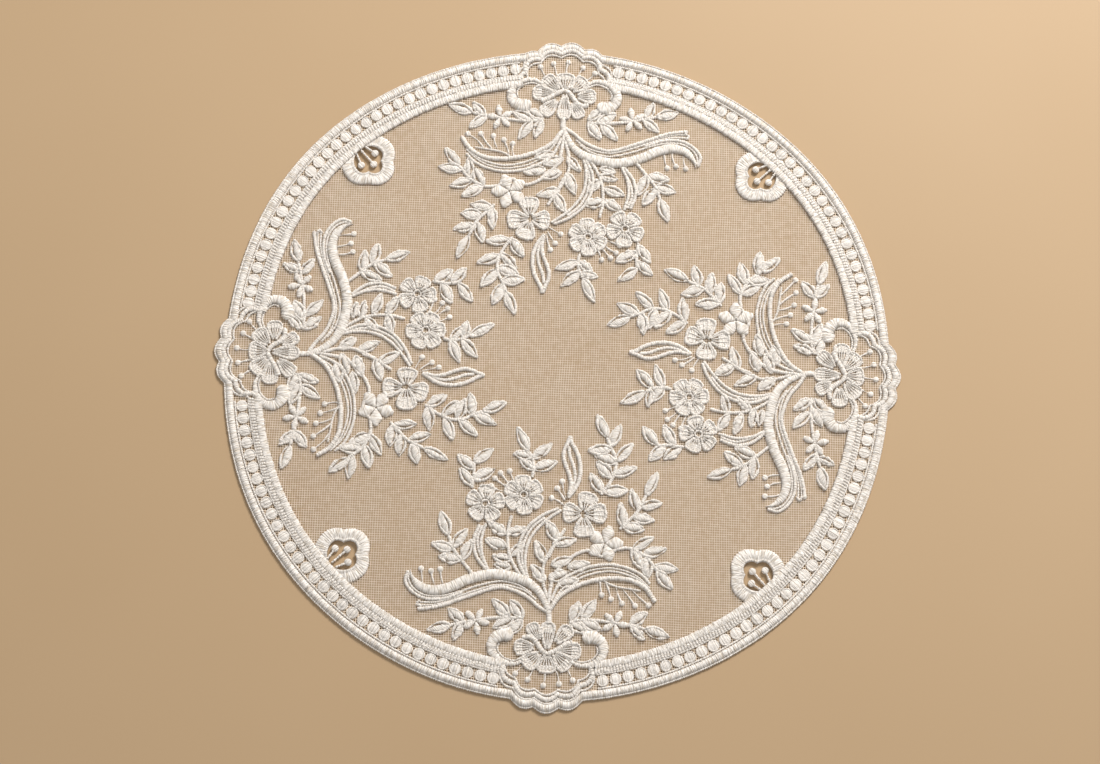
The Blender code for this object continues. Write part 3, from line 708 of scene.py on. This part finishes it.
def fan_petal(made, petal, threads=4, rim=0.58, open_share=0.45):
    """A rim cord from the root, out round the petal's blunt end and back, and tapered threads fanned
    inside it, over a low satin ground that leaves net open for the open share of the petal's length. The
    outline's points are shares of the length and of the width. A thread bows out with its lean, and the
    threads reach less far the more they lean."""
    root, end = np.asarray(petal.root, float), np.asarray(petal.end, float)
    axis = end - root
    length = math.hypot(*axis)
    axis = axis / length
    side = np.array([-axis[1], axis[0]])
    long, wide = length - rim, petal.width - 2 * rim
    shares = np.array(PETAL_OUTLINE)
    spine, aside = root + shares[:, :1] * long * axis, shares[:, 1:] * wide * side
    outline = np.vstack([spine + aside, (spine - aside)[::-1]])
    made.cord(outline, rim, PETAL_RISE, step=0.45, rough=0.3)
    share = np.linspace(open_share, 0.97, 7)
    half = np.interp(share, *shares.T) * wide
    ground = root + share[:, None] * long * axis
    made.column(ground, half, PETAL_GROUND * PETAL_RISE, slant=0.4, rough=0.08, square=0.6)
    for lean in np.linspace(-PETAL_LEAN, PETAL_LEAN, threads):
        reach = length * (PETAL_REACH - PETAL_SHORTENING * lean**2)
        inner = root + PETAL_FOOT * length * axis + lean * petal.width * PETAL_FOOT_SPREAD * side
        outer = root + reach * axis + lean * petal.width * side
        middle = (inner + outer) / 2 + lean * petal.width * PETAL_BOW * side
        path = along([inner, middle, outer], 1.3, 4)
        taper = np.linspace(THREAD_ROOT, THREAD_FILL * petal.width / threads, len(path))
        rise = PETAL_RISE * np.linspace(0.95, 0.65, len(path))
        made.column(path, taper, rise, rough=0.05, square=0.8)


def stamen(made, row):
    """A thread stalk, a little bowed, that ends under a round knob."""
    foot, knob = np.asarray(row.foot, float), np.asarray(row.knob, float)
    bow = np.array([-(knob - foot)[1], (knob - foot)[0]]) * chance.uniform(-STALK_BOW, STALK_BOW)
    made.cord([foot, (foot + knob) / 2 + bow, knob], STALK_HALF, STALK_RISE, step=0.9)
    made.dome(knob, KNOB_RADIUS, KNOB_RISE, KNOB_SIDES)


def arch(made, cord, place):
    """Half an ellipse about the arch's foot, drawn in at each notch of the scallops."""
    t = np.linspace(math.pi / 2 + ARCH_SWEEP / 2, math.pi / 2 - ARCH_SWEEP / 2, ARCH_STEPS)
    x, y = (ARCH_HALF - cord.inset) * np.cos(t), (ARCH_HEIGHT - cord.inset) * np.sin(t)
    path = np.stack([x, y], axis=1)
    run = lengths(path)
    crown = np.interp(place.scallop - place.x, x, run)
    drawn_in = ARCH_SCALLOP * scallop(run - crown, 0)
    path = along((0, ARCH_FOOT) + path - drawn_in[:, None] * across(path), FINE_STEP)
    made.column(path, round_ends(path, cord.half), cord.rise)


def scroll(made, points):
    """A column that swells, as a power of its length, to a round end, with a fine cord outside it."""
    path = along(points, FINE_STEP)
    share = np.linspace(0, 1, len(path))
    near_end = np.clip(1 - (1 - share) * lengths(path)[-1] / SCROLL_HALF, 0, SCROLL_TIP)
    swell = SCROLL_START + (SCROLL_HALF - SCROLL_START) * share**SCROLL_GROWTH
    half = swell * np.sqrt(1 - near_end**2)
    made.column(path, half, SCROLL_LOW + SCROLL_GAIN * share, rough=0.3, square=0.85)
    outward = -np.sign(points[0][0]) * (half + SCROLL_RIM_GAP)[:, None] * across(path)
    rim = (path + outward)[: round(len(path) * SCROLL_RIM_SHARE)]
    made.column(rim, round_ends(rim, SCROLL_RIM_HALF), SCROLL_RIM_RISE)


def medallion(place):
    """One medallion's stitching. Its scallops are those of the cloth's edge at that place."""
    made = Stitching()
    for cord in ARCH_CORDS:
        arch(made, cord, place)
    for petal in MEDALLION_PETALS:
        fan_petal(made, petal, PETAL_THREADS, open_share=PETAL_OPEN)
    for points in STEM_CORDS:
        made.cord(points, STEM_CORD_HALF, STEM_CORD_RISE)
    for points in SCROLLS:
        scroll(made, points)
    for row in MEDALLION_STAMENS:
        stamen(made, row)
    return made


for number, place in enumerate(MEDALLIONS):
    medallion(place).piece(f"medallion_{number + 1}", QUARTER * number, (place.x, place.y))

# --- The cutwork blossoms ----------------------------------------------------------------------------
# Between the medallions a three-petalled satin ring hangs from the border, with the cloth cut out of its
# middle. Three padded stamens hang into the opening.
BLOSSOM_REACH = 13.0
EYELET_REACH = 7.0
PETAL_NOTCH = 2.0
BLOSSOM_STEPS = 300
BLOSSOM_STITCHES = 62
BLOSSOM_SWELL = 0.16
BORDER_COVER = 16.0
COVER_SLOPE = 1.5
COVERED_RISE = 0.25
RingPoint = namedtuple("RingPoint", "share height tooth")
RING_PROFILE = (
    RingPoint(0.0, 0.1, 0.0),
    RingPoint(0.03, 0.75, 0.1),
    RingPoint(0.1, 1.1, 0.2),
    RingPoint(0.18, 1.05, 0.2),
    RingPoint(0.24, 0.8, 0.0),
    RingPoint(0.32, 1.0, 0.0),
    RingPoint(0.6, 1.15, 0.0),
    RingPoint(0.86, 0.95, 0.6),
    RingPoint(0.97, 0.6, 0.9),
    RingPoint(1.0, 0.1, 1.0),
    RingPoint(0.5, -0.4, 0.0),
)
BlossomStamen = namedtuple("BlossomStamen", "root knob")
BLOSSOM_STAMENS = (
    BlossomStamen(root=(3.2, 6.4), knob=(4.3, 0.9)),
    BlossomStamen(root=(0.6, 6.4), knob=(0.3, -2.6)),
    BlossomStamen(root=(-2.0, 6.4), knob=(-4.1, 0.9)),
)
BLOSSOM_STALK_HALF = 0.48
BLOSSOM_STALK_RISE = 0.8
BLOSSOM_KNOB_RADIUS = 1.65
BLOSSOM_KNOB_RISE = 1.1
BLOSSOM_KNOB_SIDES = 14


def blossom_reach(angle, reach):
    """Outline about a blossom's centre: three petals with notches between, and round above them."""
    return reach - PETAL_NOTCH * (1 - np.abs(np.cos(2 * angle))) * (np.sin(angle) < 0)


def blossom(shift):
    """The profile carried round the eyelet, one tooth a stitch, and sunk where the border covers it."""
    made = Stitching()
    centre = np.array([0, BLOSSOM_AT])
    angle = np.linspace(0, 2 * math.pi, BLOSSOM_STEPS, endpoint=False)
    tooth = teeth(BLOSSOM_STITCHES / 2 * angle)
    outer, inner = blossom_reach(angle, BLOSSOM_REACH), blossom_reach(angle, EYELET_REACH)
    share, height, toothed = np.array(RING_PROFILE).T
    reach = inner[:, None] + (outer - inner)[:, None] * share + TOOTH_REACH * tooth[:, None] * toothed
    points = centre + polar(reach, angle[:, None])
    inset = RING_RADIUS - np.hypot(*(points + shift).transpose(2, 0, 1))
    clear = np.clip((inset - BORDER_COVER) / COVER_SLOPE, 0, 1)
    risen = height * (COVERED_RISE + (1 - COVERED_RISE) * clear) * (1 + BLOSSOM_SWELL * tooth[:, None])
    heights = NET_LEVEL + np.where(height > 0, risen, height)
    run = angle * (BLOSSOM_REACH + EYELET_REACH) / 2
    made.tube(points, heights, run, reach, slant=0.0, loop=True)
    for row in BLOSSOM_STAMENS:
        knob = centre + row.knob
        made.cord([centre + row.root, knob], BLOSSOM_STALK_HALF, BLOSSOM_STALK_RISE)
        made.dome(knob, BLOSSOM_KNOB_RADIUS, BLOSSOM_KNOB_RISE, BLOSSOM_KNOB_SIDES)
    return made


for number, shift in enumerate(BLOSSOM_SHIFTS):
    blossom(shift).piece(f"blossom_{number + 1}", QUARTER * (number + 0.5), shift)

# --- The sprays --------------------------------------------------------------------------------------
# Under each medallion a spray of two ribbons, leafy sprigs and flowers is worked on the net. A leaf is a
# plump satin blade between two outline cords, with a slit beside it. A ribbon is a pair of cords with
# fine chain stitch between them.
Side = namedtuple("Side", "shares spread leaf")
Sprig = namedtuple("Sprig", "stem left right tip")
SPRIGS = (
    Sprig(
        stem=[(-29, 83), (-35, 82.5), (-42, 86), (-47, 92)],
        left=Side((0.31, 0.56, 0.88), spread=48, leaf=11.0),
        right=Side((0.31, 0.64), spread=46, leaf=10.0),
        tip=10.6,
    ),
    Sprig(
        stem=[(-30, 74), (-34, 70), (-38, 65.5), (-41.3, 58.5)],
        left=Side((0.08, 0.57), spread=50, leaf=10.8),
        right=Side((0.08, 0.4, 0.7), spread=50, leaf=10.0),
        tip=12.0,
    ),
    Sprig(
        stem=[(-21.3, 58.8), (-25, 53.5), (-27.5, 47.5), (-27.5, 42), (-25.3, 37.3), (-23.4, 32.8)],
        left=Side((0.04, 0.32, 0.56, 0.8), spread=70, leaf=10.4),
        right=Side((0.06, 0.36, 0.6, 0.85), spread=47, leaf=11.2),
        tip=11.4,
    ),
    Sprig(
        stem=[(9.5, 52), (8.9, 48.5), (9.4, 44), (11.2, 40.4)],
        left=Side((0.26, 0.76), spread=54, leaf=8.4),
        right=Side((0.28, 0.7), spread=68, leaf=11.3),
        tip=12.6,
    ),
    Sprig(
        stem=[(36, 58), (35.3, 52), (35.6, 46)],
        left=Side((0.1, 0.7), spread=45, leaf=10.0),
        right=Side((0.34, 0.98), spread=56, leaf=10.8),
        tip=0,
    ),
    Sprig(
        stem=[(33.6, 97), (39, 90.6), (43.2, 85.2), (45.4, 79.4)],
        left=Side((0.42, 0.68), spread=44, leaf=10.2),
        right=Side((0.4, 0.74), spread=62, leaf=10.4),
        tip=11.4,
    ),
    Sprig(
        stem=[(-34, 116.3), (-38, 116.8), (-42, 118)],
        left=Side((0.15,), spread=44, leaf=9.6),
        right=Side((0.2,), spread=40, leaf=9.0),
        tip=11.5,
    ),
    Sprig(
        stem=[(36, 117.3), (39, 118), (43, 119)],
        left=Side((0.3,), spread=54, leaf=8.6),
        right=Side((0.15,), spread=52, leaf=9.4),
        tip=10.6,
    ),
)
Leaf = namedtuple("Leaf", "base tip")
LEAVES = (
    Leaf(base=(-13.5, 115), tip=(-23.6, 119.4)),
    Leaf(base=(-9, 116.5), tip=(-17, 120.5)),
    Leaf(base=(-14.5, 115), tip=(-20.2, 105.6)),
    Leaf(base=(-9.8, 115.6), tip=(-13, 106.8)),
    Leaf(base=(11.5, 116), tip=(18, 122.4)),
    Leaf(base=(15.5, 115), tip=(24.6, 119.8)),
    Leaf(base=(11.6, 115), tip=(17.4, 107)),
    Leaf(base=(17.4, 114.6), tip=(25.4, 106.8)),
    Leaf(base=(-3.2, 99.6), tip=(-12.6, 97.4)),
    Leaf(base=(0.8, 97.2), tip=(-8.6, 94)),
    Leaf(base=(-7.4, 92), tip=(-17.6, 90)),
    Leaf(base=(0, 91), tip=(-9.6, 87.6)),
    Leaf(base=(2.5, 98.5), tip=(8.5, 91)),
    Leaf(base=(2.2, 90.5), tip=(6.8, 80)),
    Leaf(base=(-0.5, 82), tip=(-11.2, 79)),
    Leaf(base=(-2.8, 80.4), tip=(2.2, 71.4)),
    Leaf(base=(17.5, 93), tip=(25, 91.5)),
    Leaf(base=(18, 87.5), tip=(11.8, 81.4)),
    Leaf(base=(17.5, 89.5), tip=(26, 88)),
    Leaf(base=(19.5, 84), tip=(29.4, 80.4)),
    Leaf(base=(20, 77.5), tip=(10.8, 75)),
    Leaf(base=(20, 78), tip=(28, 73)),
)
Flower = namedtuple("Flower", "x y petals reach turn fullness")
FLOWERS = (
    Flower(12.9, 60, petals=6, reach=9.1, turn=95, fullness=0.9),
    Flower(29.8, 64.5, petals=5, reach=8.8, turn=50, fullness=0.78),
)
Star = namedtuple("Star", "x y reach plump turn")
STARS = (
    Star(-29, 116, reach=6.0, plump=1.15, turn=101),
    Star(32, 117, reach=6.0, plump=1.15, turn=101),
    Star(-23.6, 80.6, reach=8.2, plump=2.5, turn=110),
)
ORCHID = (
    Petal(root=(-14.0, 67.5), end=(-24.2, 67.0), width=9.4),
    Petal(root=(-13.0, 67.5), end=(-4.6, 67.2), width=9.6),
    Petal(root=(-14.0, 66.5), end=(-16.4, 57.8), width=9.4),
    Petal(root=(-13.8, 69.0), end=(-14.4, 78.2), width=9.4),
)
Cord = namedtuple("Cord", "path half rise")
SPRAY_CORDS = (
    Cord([(0, 112.5), (5, 109.5), (10, 105.5), (17, 102.5), (24, 102), (38, 107), (48, 110.8),
          (57.5, 112.6)], 0.85, 0.9),
    Cord([(57.6, 112.8), (56.6, 111.2), (58.2, 110.2), (56.8, 108.6)], 0.6, 0.8),
    Cord([(38, 104.4), (46, 107.4), (54, 107.8), (60, 105.2), (63.6, 100.5), (62.6, 95.6)], 0.75, 0.85),
    Cord([(-46.5, 106), (-42, 100), (-35, 96.5), (-25, 96.2), (-14, 99), (-5, 104.2), (0, 111)],
         1.05, 1.15),
    Cord([(-44, 98), (-40, 94), (-33, 91), (-25, 90), (-15, 92), (-5, 98), (-0.5, 107)], 0.7, 0.85),
    Cord([(8.8, 101), (11.2, 92), (10.7, 83), (7.6, 76.5), (2.2, 70.8), (-4, 66.2)], 0.75, 0.85),
    Cord([(9.8, 99), (14.1, 90), (14.0, 82), (10.6, 74.6), (4.4, 69), (-3, 65.5)], 0.8, 0.95),
    Cord([(27.4, 94.5), (30.2, 88), (31, 81), (29.2, 73.5)], 0.75, 0.85),
    Cord([(28.5, 94), (33, 88), (34.2, 81), (32, 74)], 0.8, 0.9),
    Cord([(-6.8, 60.6), (-9.4, 57), (-11.3, 53), (-12, 48), (-11.3, 43), (-9.6, 38.8), (-7.6, 35.4),
          (-7, 32.6)], 0.95, 0.9),
    Cord([(-7, 59.5), (-7.9, 55), (-7.2, 50.6), (-5.6, 46.6), (-4.4, 43), (-4.4, 39.6), (-5.8, 36),
          (-7, 32.6)], 0.9, 0.95),
    Cord([(-29, 83), (-23, 86.5), (-16, 84), (-8, 88), (-1.5, 96), (0.8, 110)], 0.8, 0.85),
    Cord([(1, 88), (-1.4, 82), (-6, 74.5)], 0.75, 0.85),
    Cord([(1, 106), (3, 99), (3, 91), (-1, 82)], 0.75, 0.85),
    Cord([(-9, 116), (-14, 115), (-22, 115), (-34, 116.3)], 0.75, 0.85),
    Cord([(11, 115), (18, 115), (26, 115.5), (36, 117.3)], 0.75, 0.85),
    Cord([(12, 98), (16, 92), (18.6, 86), (19.4, 77), (18, 69.5)], 0.75, 0.85),
    Cord([(-40, 101.2), (-36, 100.6), (-30, 99.8), (-26, 98.6), (-23, 96.8)], 0.45, 0.65),
)
RIBBON_CORD = [(0, 117), (0.5, 111), (4.5, 103.5), (10, 99), (18, 96.6), (26, 95.9), (36, 98.6),
               (44, 102.4), (51, 104), (57, 102.4), (60.6, 98.6), (61.6, 95)]
RIBBON_HALF = 2.3
RIBBON_END = 1.2
RIBBON_LOW, RIBBON_GAIN = 0.9, 0.6
RIBBON_GROW, RIBBON_FADE, RIBBON_TIP = 0.3, 0.22, 0.1
SPRAY_CHAINS = (
    Cord([(8, 104), (14, 100.4), (22, 99), (32, 101.4), (40, 104.4), (48, 106.4), (55, 106.2),
          (60, 103.4), (62.3, 99.5), (62, 96.6)], 0.55, 0.65),
    Cord([(6, 106.5), (12, 102.4), (22, 100.6), (32, 103.2), (42, 107), (50, 109.2), (57, 109.4)],
         0.5, 0.6),
    Cord([(24, 101.6), (34, 104.8), (44, 108.6), (51, 110.4), (57, 110.9)], 0.4, 0.6),
    Cord([(-45, 102.5), (-40, 97), (-33, 94), (-25, 93), (-15, 95.6), (-6, 101), (-0.5, 109)],
         0.55, 0.65),
    Cord([(-44, 100), (-39, 95.4), (-33, 92.6), (-25, 91.6), (-15, 93.8), (-6, 99.4)], 0.45, 0.6),
    Cord([(9.6, 99), (12.6, 90), (12.3, 82.5), (9, 75), (3.2, 69.8)], 0.75, 0.7),
    Cord([(28.6, 92), (31.7, 86), (32.6, 80), (30.6, 74.5)], 0.75, 0.7),
    Cord([(-8.6, 56.5), (-9.7, 51), (-8.8, 46), (-7.2, 42), (-6.4, 37.4)], 0.85, 0.7),
)
SPRAY_STAMENS = (
    Stamen((-36, 100.8), (-43.6, 107.5)),
    Stamen((-31.5, 100), (-37.6, 107.8)),
    Stamen((-29, 99.6), (-31.8, 107)),
    Stamen((-24, 97), (-27, 105.3)),
    Stamen((-21.8, 97), (-22.8, 103.6)),
    Stamen((47, 101), (48.5, 94.5)),
    Stamen((50.5, 102), (52.5, 95.5)),
    Stamen((56, 101.5), (57, 94.5)),
    Stamen((-5, 64), (0.5, 61)),
    Stamen((-5.5, 62), (-1.8, 56.5)),
    Stamen((-6, 61), (-4, 53.3)),
    Stamen((17, 55), (19.5, 49.5)),
    Stamen((19, 56), (23.5, 50.5)),
    Stamen((20, 57), (26, 53)),
    Stamen((21, 59), (27.5, 56.5)),
)
STEM_HALF = 0.78
STEM_RISE = 0.85
LEAF_POINTS = 14
LEAF_WIDTH = 0.53
LEAF_WIDEST = 5.3
LEAF_SKEW = 0.88
LEAF_RIM_INSET = 0.5
LEAF_RIM_HALF = 0.55
LEAF_RIM_RISE = 0.8
BLADE_INSET = 0.75
BLADE_LEAST = 0.15
BLADE_LOW, BLADE_GAIN = 0.35, 0.75
PETAL_WIDEST = 0.78
FLOWER_HUB = 1.9
FLOWER_RING = 1.6
FLOWER_RING_HALF = 0.48
FLOWER_RING_RISE = 0.9
FLOWER_RIM = 0.62
ORCHID_RIM = 0.65
STAR_POINTS = 5
STAR_HEART = 0.4
STAR_SKEW = 1.3
STAR_LOW, STAR_GAIN = 0.65, 0.5


def leaf(made, base, tip):
    """Two outline cords that bow apart, as a skewed half wave, and meet at both ends. A blade fills the
    space between them but for a slit on one side."""
    base, tip = np.asarray(base, float), np.asarray(tip, float)
    length = math.dist(base, tip)
    way = (tip - base) / length
    side = np.array([-way[1], way[0]]) * chance.choice([-1, 1])
    bow = min(length * LEAF_WIDTH, LEAF_WIDEST) / 2 * chance.uniform(0.9, 1.08)
    share = np.linspace(0, 1, LEAF_POINTS)[:, None]
    lift = np.sin(math.pi * share**LEAF_SKEW)
    for out in (-1, 1):
        rim = base + share * length * way + out * (bow - LEAF_RIM_INSET) * lift * side
        made.column(rim, round_ends(rim, LEAF_RIM_HALF), LEAF_RIM_RISE, rough=0.34)
    slit = chance.uniform(0.5, 1.1)
    share = share[:-1] * 0.9 + 0.05
    lift = np.sin(math.pi * share**LEAF_SKEW)
    half = np.maximum((bow - BLADE_INSET - slit / 2) * lift[:, 0], BLADE_LEAST)
    blade = base + share * length * way + (slit / 2) * lift * side
    made.column(blade, half, BLADE_LOW + BLADE_GAIN * lift[:, 0], slant=0.7, rough=0.15, square=0.8)


def sprig(made, row):
    """A stem with leaves that part from it at each side's spread, in degrees, and one at its tip."""
    path = along(row.stem, 0.3)
    made.cord(row.stem, STEM_HALF, STEM_RISE)
    run = lengths(path) / lengths(path)[-1]
    way = np.gradient(path, axis=0)
    way = way / np.hypot(*way.T)[:, None]
    for side, sign in ((row.left, 1), (row.right, -1)):
        for share in side.shares:
            at = int(np.searchsorted(run, share))
            spread = sign * math.radians(side.spread)
            leaf(made, path[at], path[at] + side.leaf * turned(way[at], spread))
    if row.tip:
        leaf(made, path[-1], path[-1] + row.tip * way[-1])


def flower(made, row):
    """Fan petals round a small ring of satin. At a fullness of 1 they would just meet at their widest."""
    hub = np.array([row.x, row.y])
    step = 2 * math.pi / row.petals
    width = 2 * (row.reach * PETAL_WIDEST) * math.tan(step / 2) * row.fullness
    for angle in math.radians(row.turn) + step * np.arange(row.petals):
        petal = Petal(hub + polar(FLOWER_HUB, angle), hub + polar(row.reach, angle), width)
        fan_petal(made, petal, rim=FLOWER_RIM)
    ring = hub + polar(FLOWER_RING, np.linspace(0, 2 * math.pi, 16, endpoint=False))
    made.column(ring, FLOWER_RING_HALF, FLOWER_RING_RISE, loop=True)


def star(made, row):
    """Plump drops that meet in the middle. A drop's half width is half a wave, skewed to its end."""
    centre = np.array([row.x, row.y])
    for angle in math.radians(row.turn) + 2 * math.pi / STAR_POINTS * np.arange(STAR_POINTS):
        path = along([centre + polar(STAR_HEART, angle), centre + polar(row.reach, angle)], 0.7)
        share = np.linspace(0, 1, len(path))
        half = STAR_HEART + row.plump * np.sin(math.pi * np.clip(share, 0, 0.93) ** STAR_SKEW)
        rise = STAR_LOW + STAR_GAIN * np.sin(math.pi * share * 0.9)
        made.column(path, half, rise, rough=0.14, square=0.85)


def wide_ribbon(made):
    """A column that grows to its full width, runs on, and fades to its end width and then to a tip."""
    path = along(RIBBON_CORD, CORD_STEP)
    share = np.linspace(0, 1, len(path))
    fade = np.clip((1 - share) / RIBBON_FADE, 0, 1) ** 0.8
    swell = np.clip(share / RIBBON_GROW, 0, 1) ** 2 * fade
    tip = np.clip((1 - share) / RIBBON_TIP, 0.1, 1)
    half = RIBBON_END * tip + (RIBBON_HALF - RIBBON_END) * swell
    made.column(path, half, RIBBON_LOW + RIBBON_GAIN * swell, rough=0.18, square=0.9)


def spray():
    """One spray's stitching, each leaf and flower a little uneven by chance."""
    made = Stitching()
    for row in SPRAY_CHAINS:
        made.chain(row.path, row.half, row.rise)
    for row in SPRAY_CORDS:
        made.cord(row.path, row.half, row.rise)
    wide_ribbon(made)
    for row in SPRIGS:
        sprig(made, row)
    for row in LEAVES:
        leaf(made, row.base, row.tip)
    for row in FLOWERS:
        flower(made, row)
    for petal in ORCHID:
        fan_petal(made, petal, rim=ORCHID_RIM)
    for row in STARS:
        star(made, row)
    for row in SPRAY_STAMENS:
        stamen(made, row)
    return made


for number, place in enumerate(MEDALLIONS):
    spray().piece(f"spray_{number + 1}", QUARTER * number, (place.x, place.y))

# --- The table, the light and the camera -------------------------------------------------------------
# A plain pale table top under a broad soft light, which stands high behind the cloth and to its right,
# with a gentle fill from the near left. The camera looks down at the cloth steeply, rolled a little.
TABLE_HALF = 2
FLOOR_COLOUR = (0.43, 0.293, 0.163, 1.0)
FLOOR_LIGHT_COLOUR = (0.465, 0.325, 0.19, 1.0)
ROOM_COLOUR = (1.0, 0.98, 0.95, 1.0)
ROOM_STRENGTH = 0.42
TARGET = (-3.22, -7.5)
CAMERA_DISTANCE = 1.076
AZIMUTH, ELEVATION, ROLL = math.radians(-4.554), math.radians(76.333), math.radians(6.499)
SENSOR_WIDTH = 36
FOCAL_SHARE = 2395 / 1100

corners = [(x * TABLE_HALF, y * TABLE_HALF, 0) for x, y in ((-1, -1), (1, -1), (1, 1), (-1, 1))]
table_mesh = bpy.data.meshes.new("table")
table_mesh.from_pydata(corners, [], [(0, 1, 2, 3)])
table = bpy.data.objects.new("table", table_mesh)
bpy.context.scene.collection.objects.link(table)
top = Finish("table_top", Roughness=0.6)
grain = top.noise(top.node("ShaderNodeTexCoord", output="Object"), 6.0)
top_colour = top.blend(grain, FLOOR_COLOUR, FLOOR_LIGHT_COLOUR)
table_mesh.materials.append(top.drive(Base_Color=top_colour))


def studio_light(name, place, size, power, colour):
    light = bpy.data.lights.new(name, "AREA")
    light.size = size
    light.energy = power
    light.color = colour
    made = bpy.data.objects.new(name, light)
    made.location = place
    made.rotation_mode = "QUATERNION"
    made.rotation_quaternion = (-Vector(place)).to_track_quat("-Z", "Y")
    bpy.context.scene.collection.objects.link(made)


studio_light("key_light", place=(0.55, 1.1, 0.95), size=0.42, power=31, colour=(1.0, 0.97, 0.93))
studio_light("fill_light", place=(-0.8, -0.9, 1.5), size=1.4, power=4, colour=(0.95, 0.97, 1.0))
world = bpy.data.worlds.new("room")
world.use_nodes = True
sky = world.node_tree.nodes["Background"]
sky.inputs["Color"].default_value = ROOM_COLOUR
sky.inputs["Strength"].default_value = ROOM_STRENGTH
bpy.context.scene.world = world
bpy.context.scene.view_settings.view_transform = "Standard"

ca, sa, ce, se = math.cos(AZIMUTH), math.sin(AZIMUTH), math.cos(ELEVATION), math.sin(ELEVATION)
back = Vector((sa * ce, -ca * ce, se))
right = Vector((ca, sa, 0))
up = back.cross(right)
level = Matrix((right, up, back)).transposed().to_4x4()
lens = bpy.data.cameras.new("camera")
lens.sensor_width = SENSOR_WIDTH
lens.lens = SENSOR_WIDTH * FOCAL_SHARE
camera = bpy.data.objects.new("camera", lens)
target = Vector(((TARGET[0] - CLOTH_MIDDLE[0]) * MM, (TARGET[1] - CLOTH_MIDDLE[1]) * MM, 0))
station = Matrix.Translation(target + back * CAMERA_DISTANCE)
camera.matrix_world = station @ level @ Matrix.Rotation(ROLL, 4, "Z")
bpy.context.scene.collection.objects.link(camera)
bpy.context.scene.camera = camera
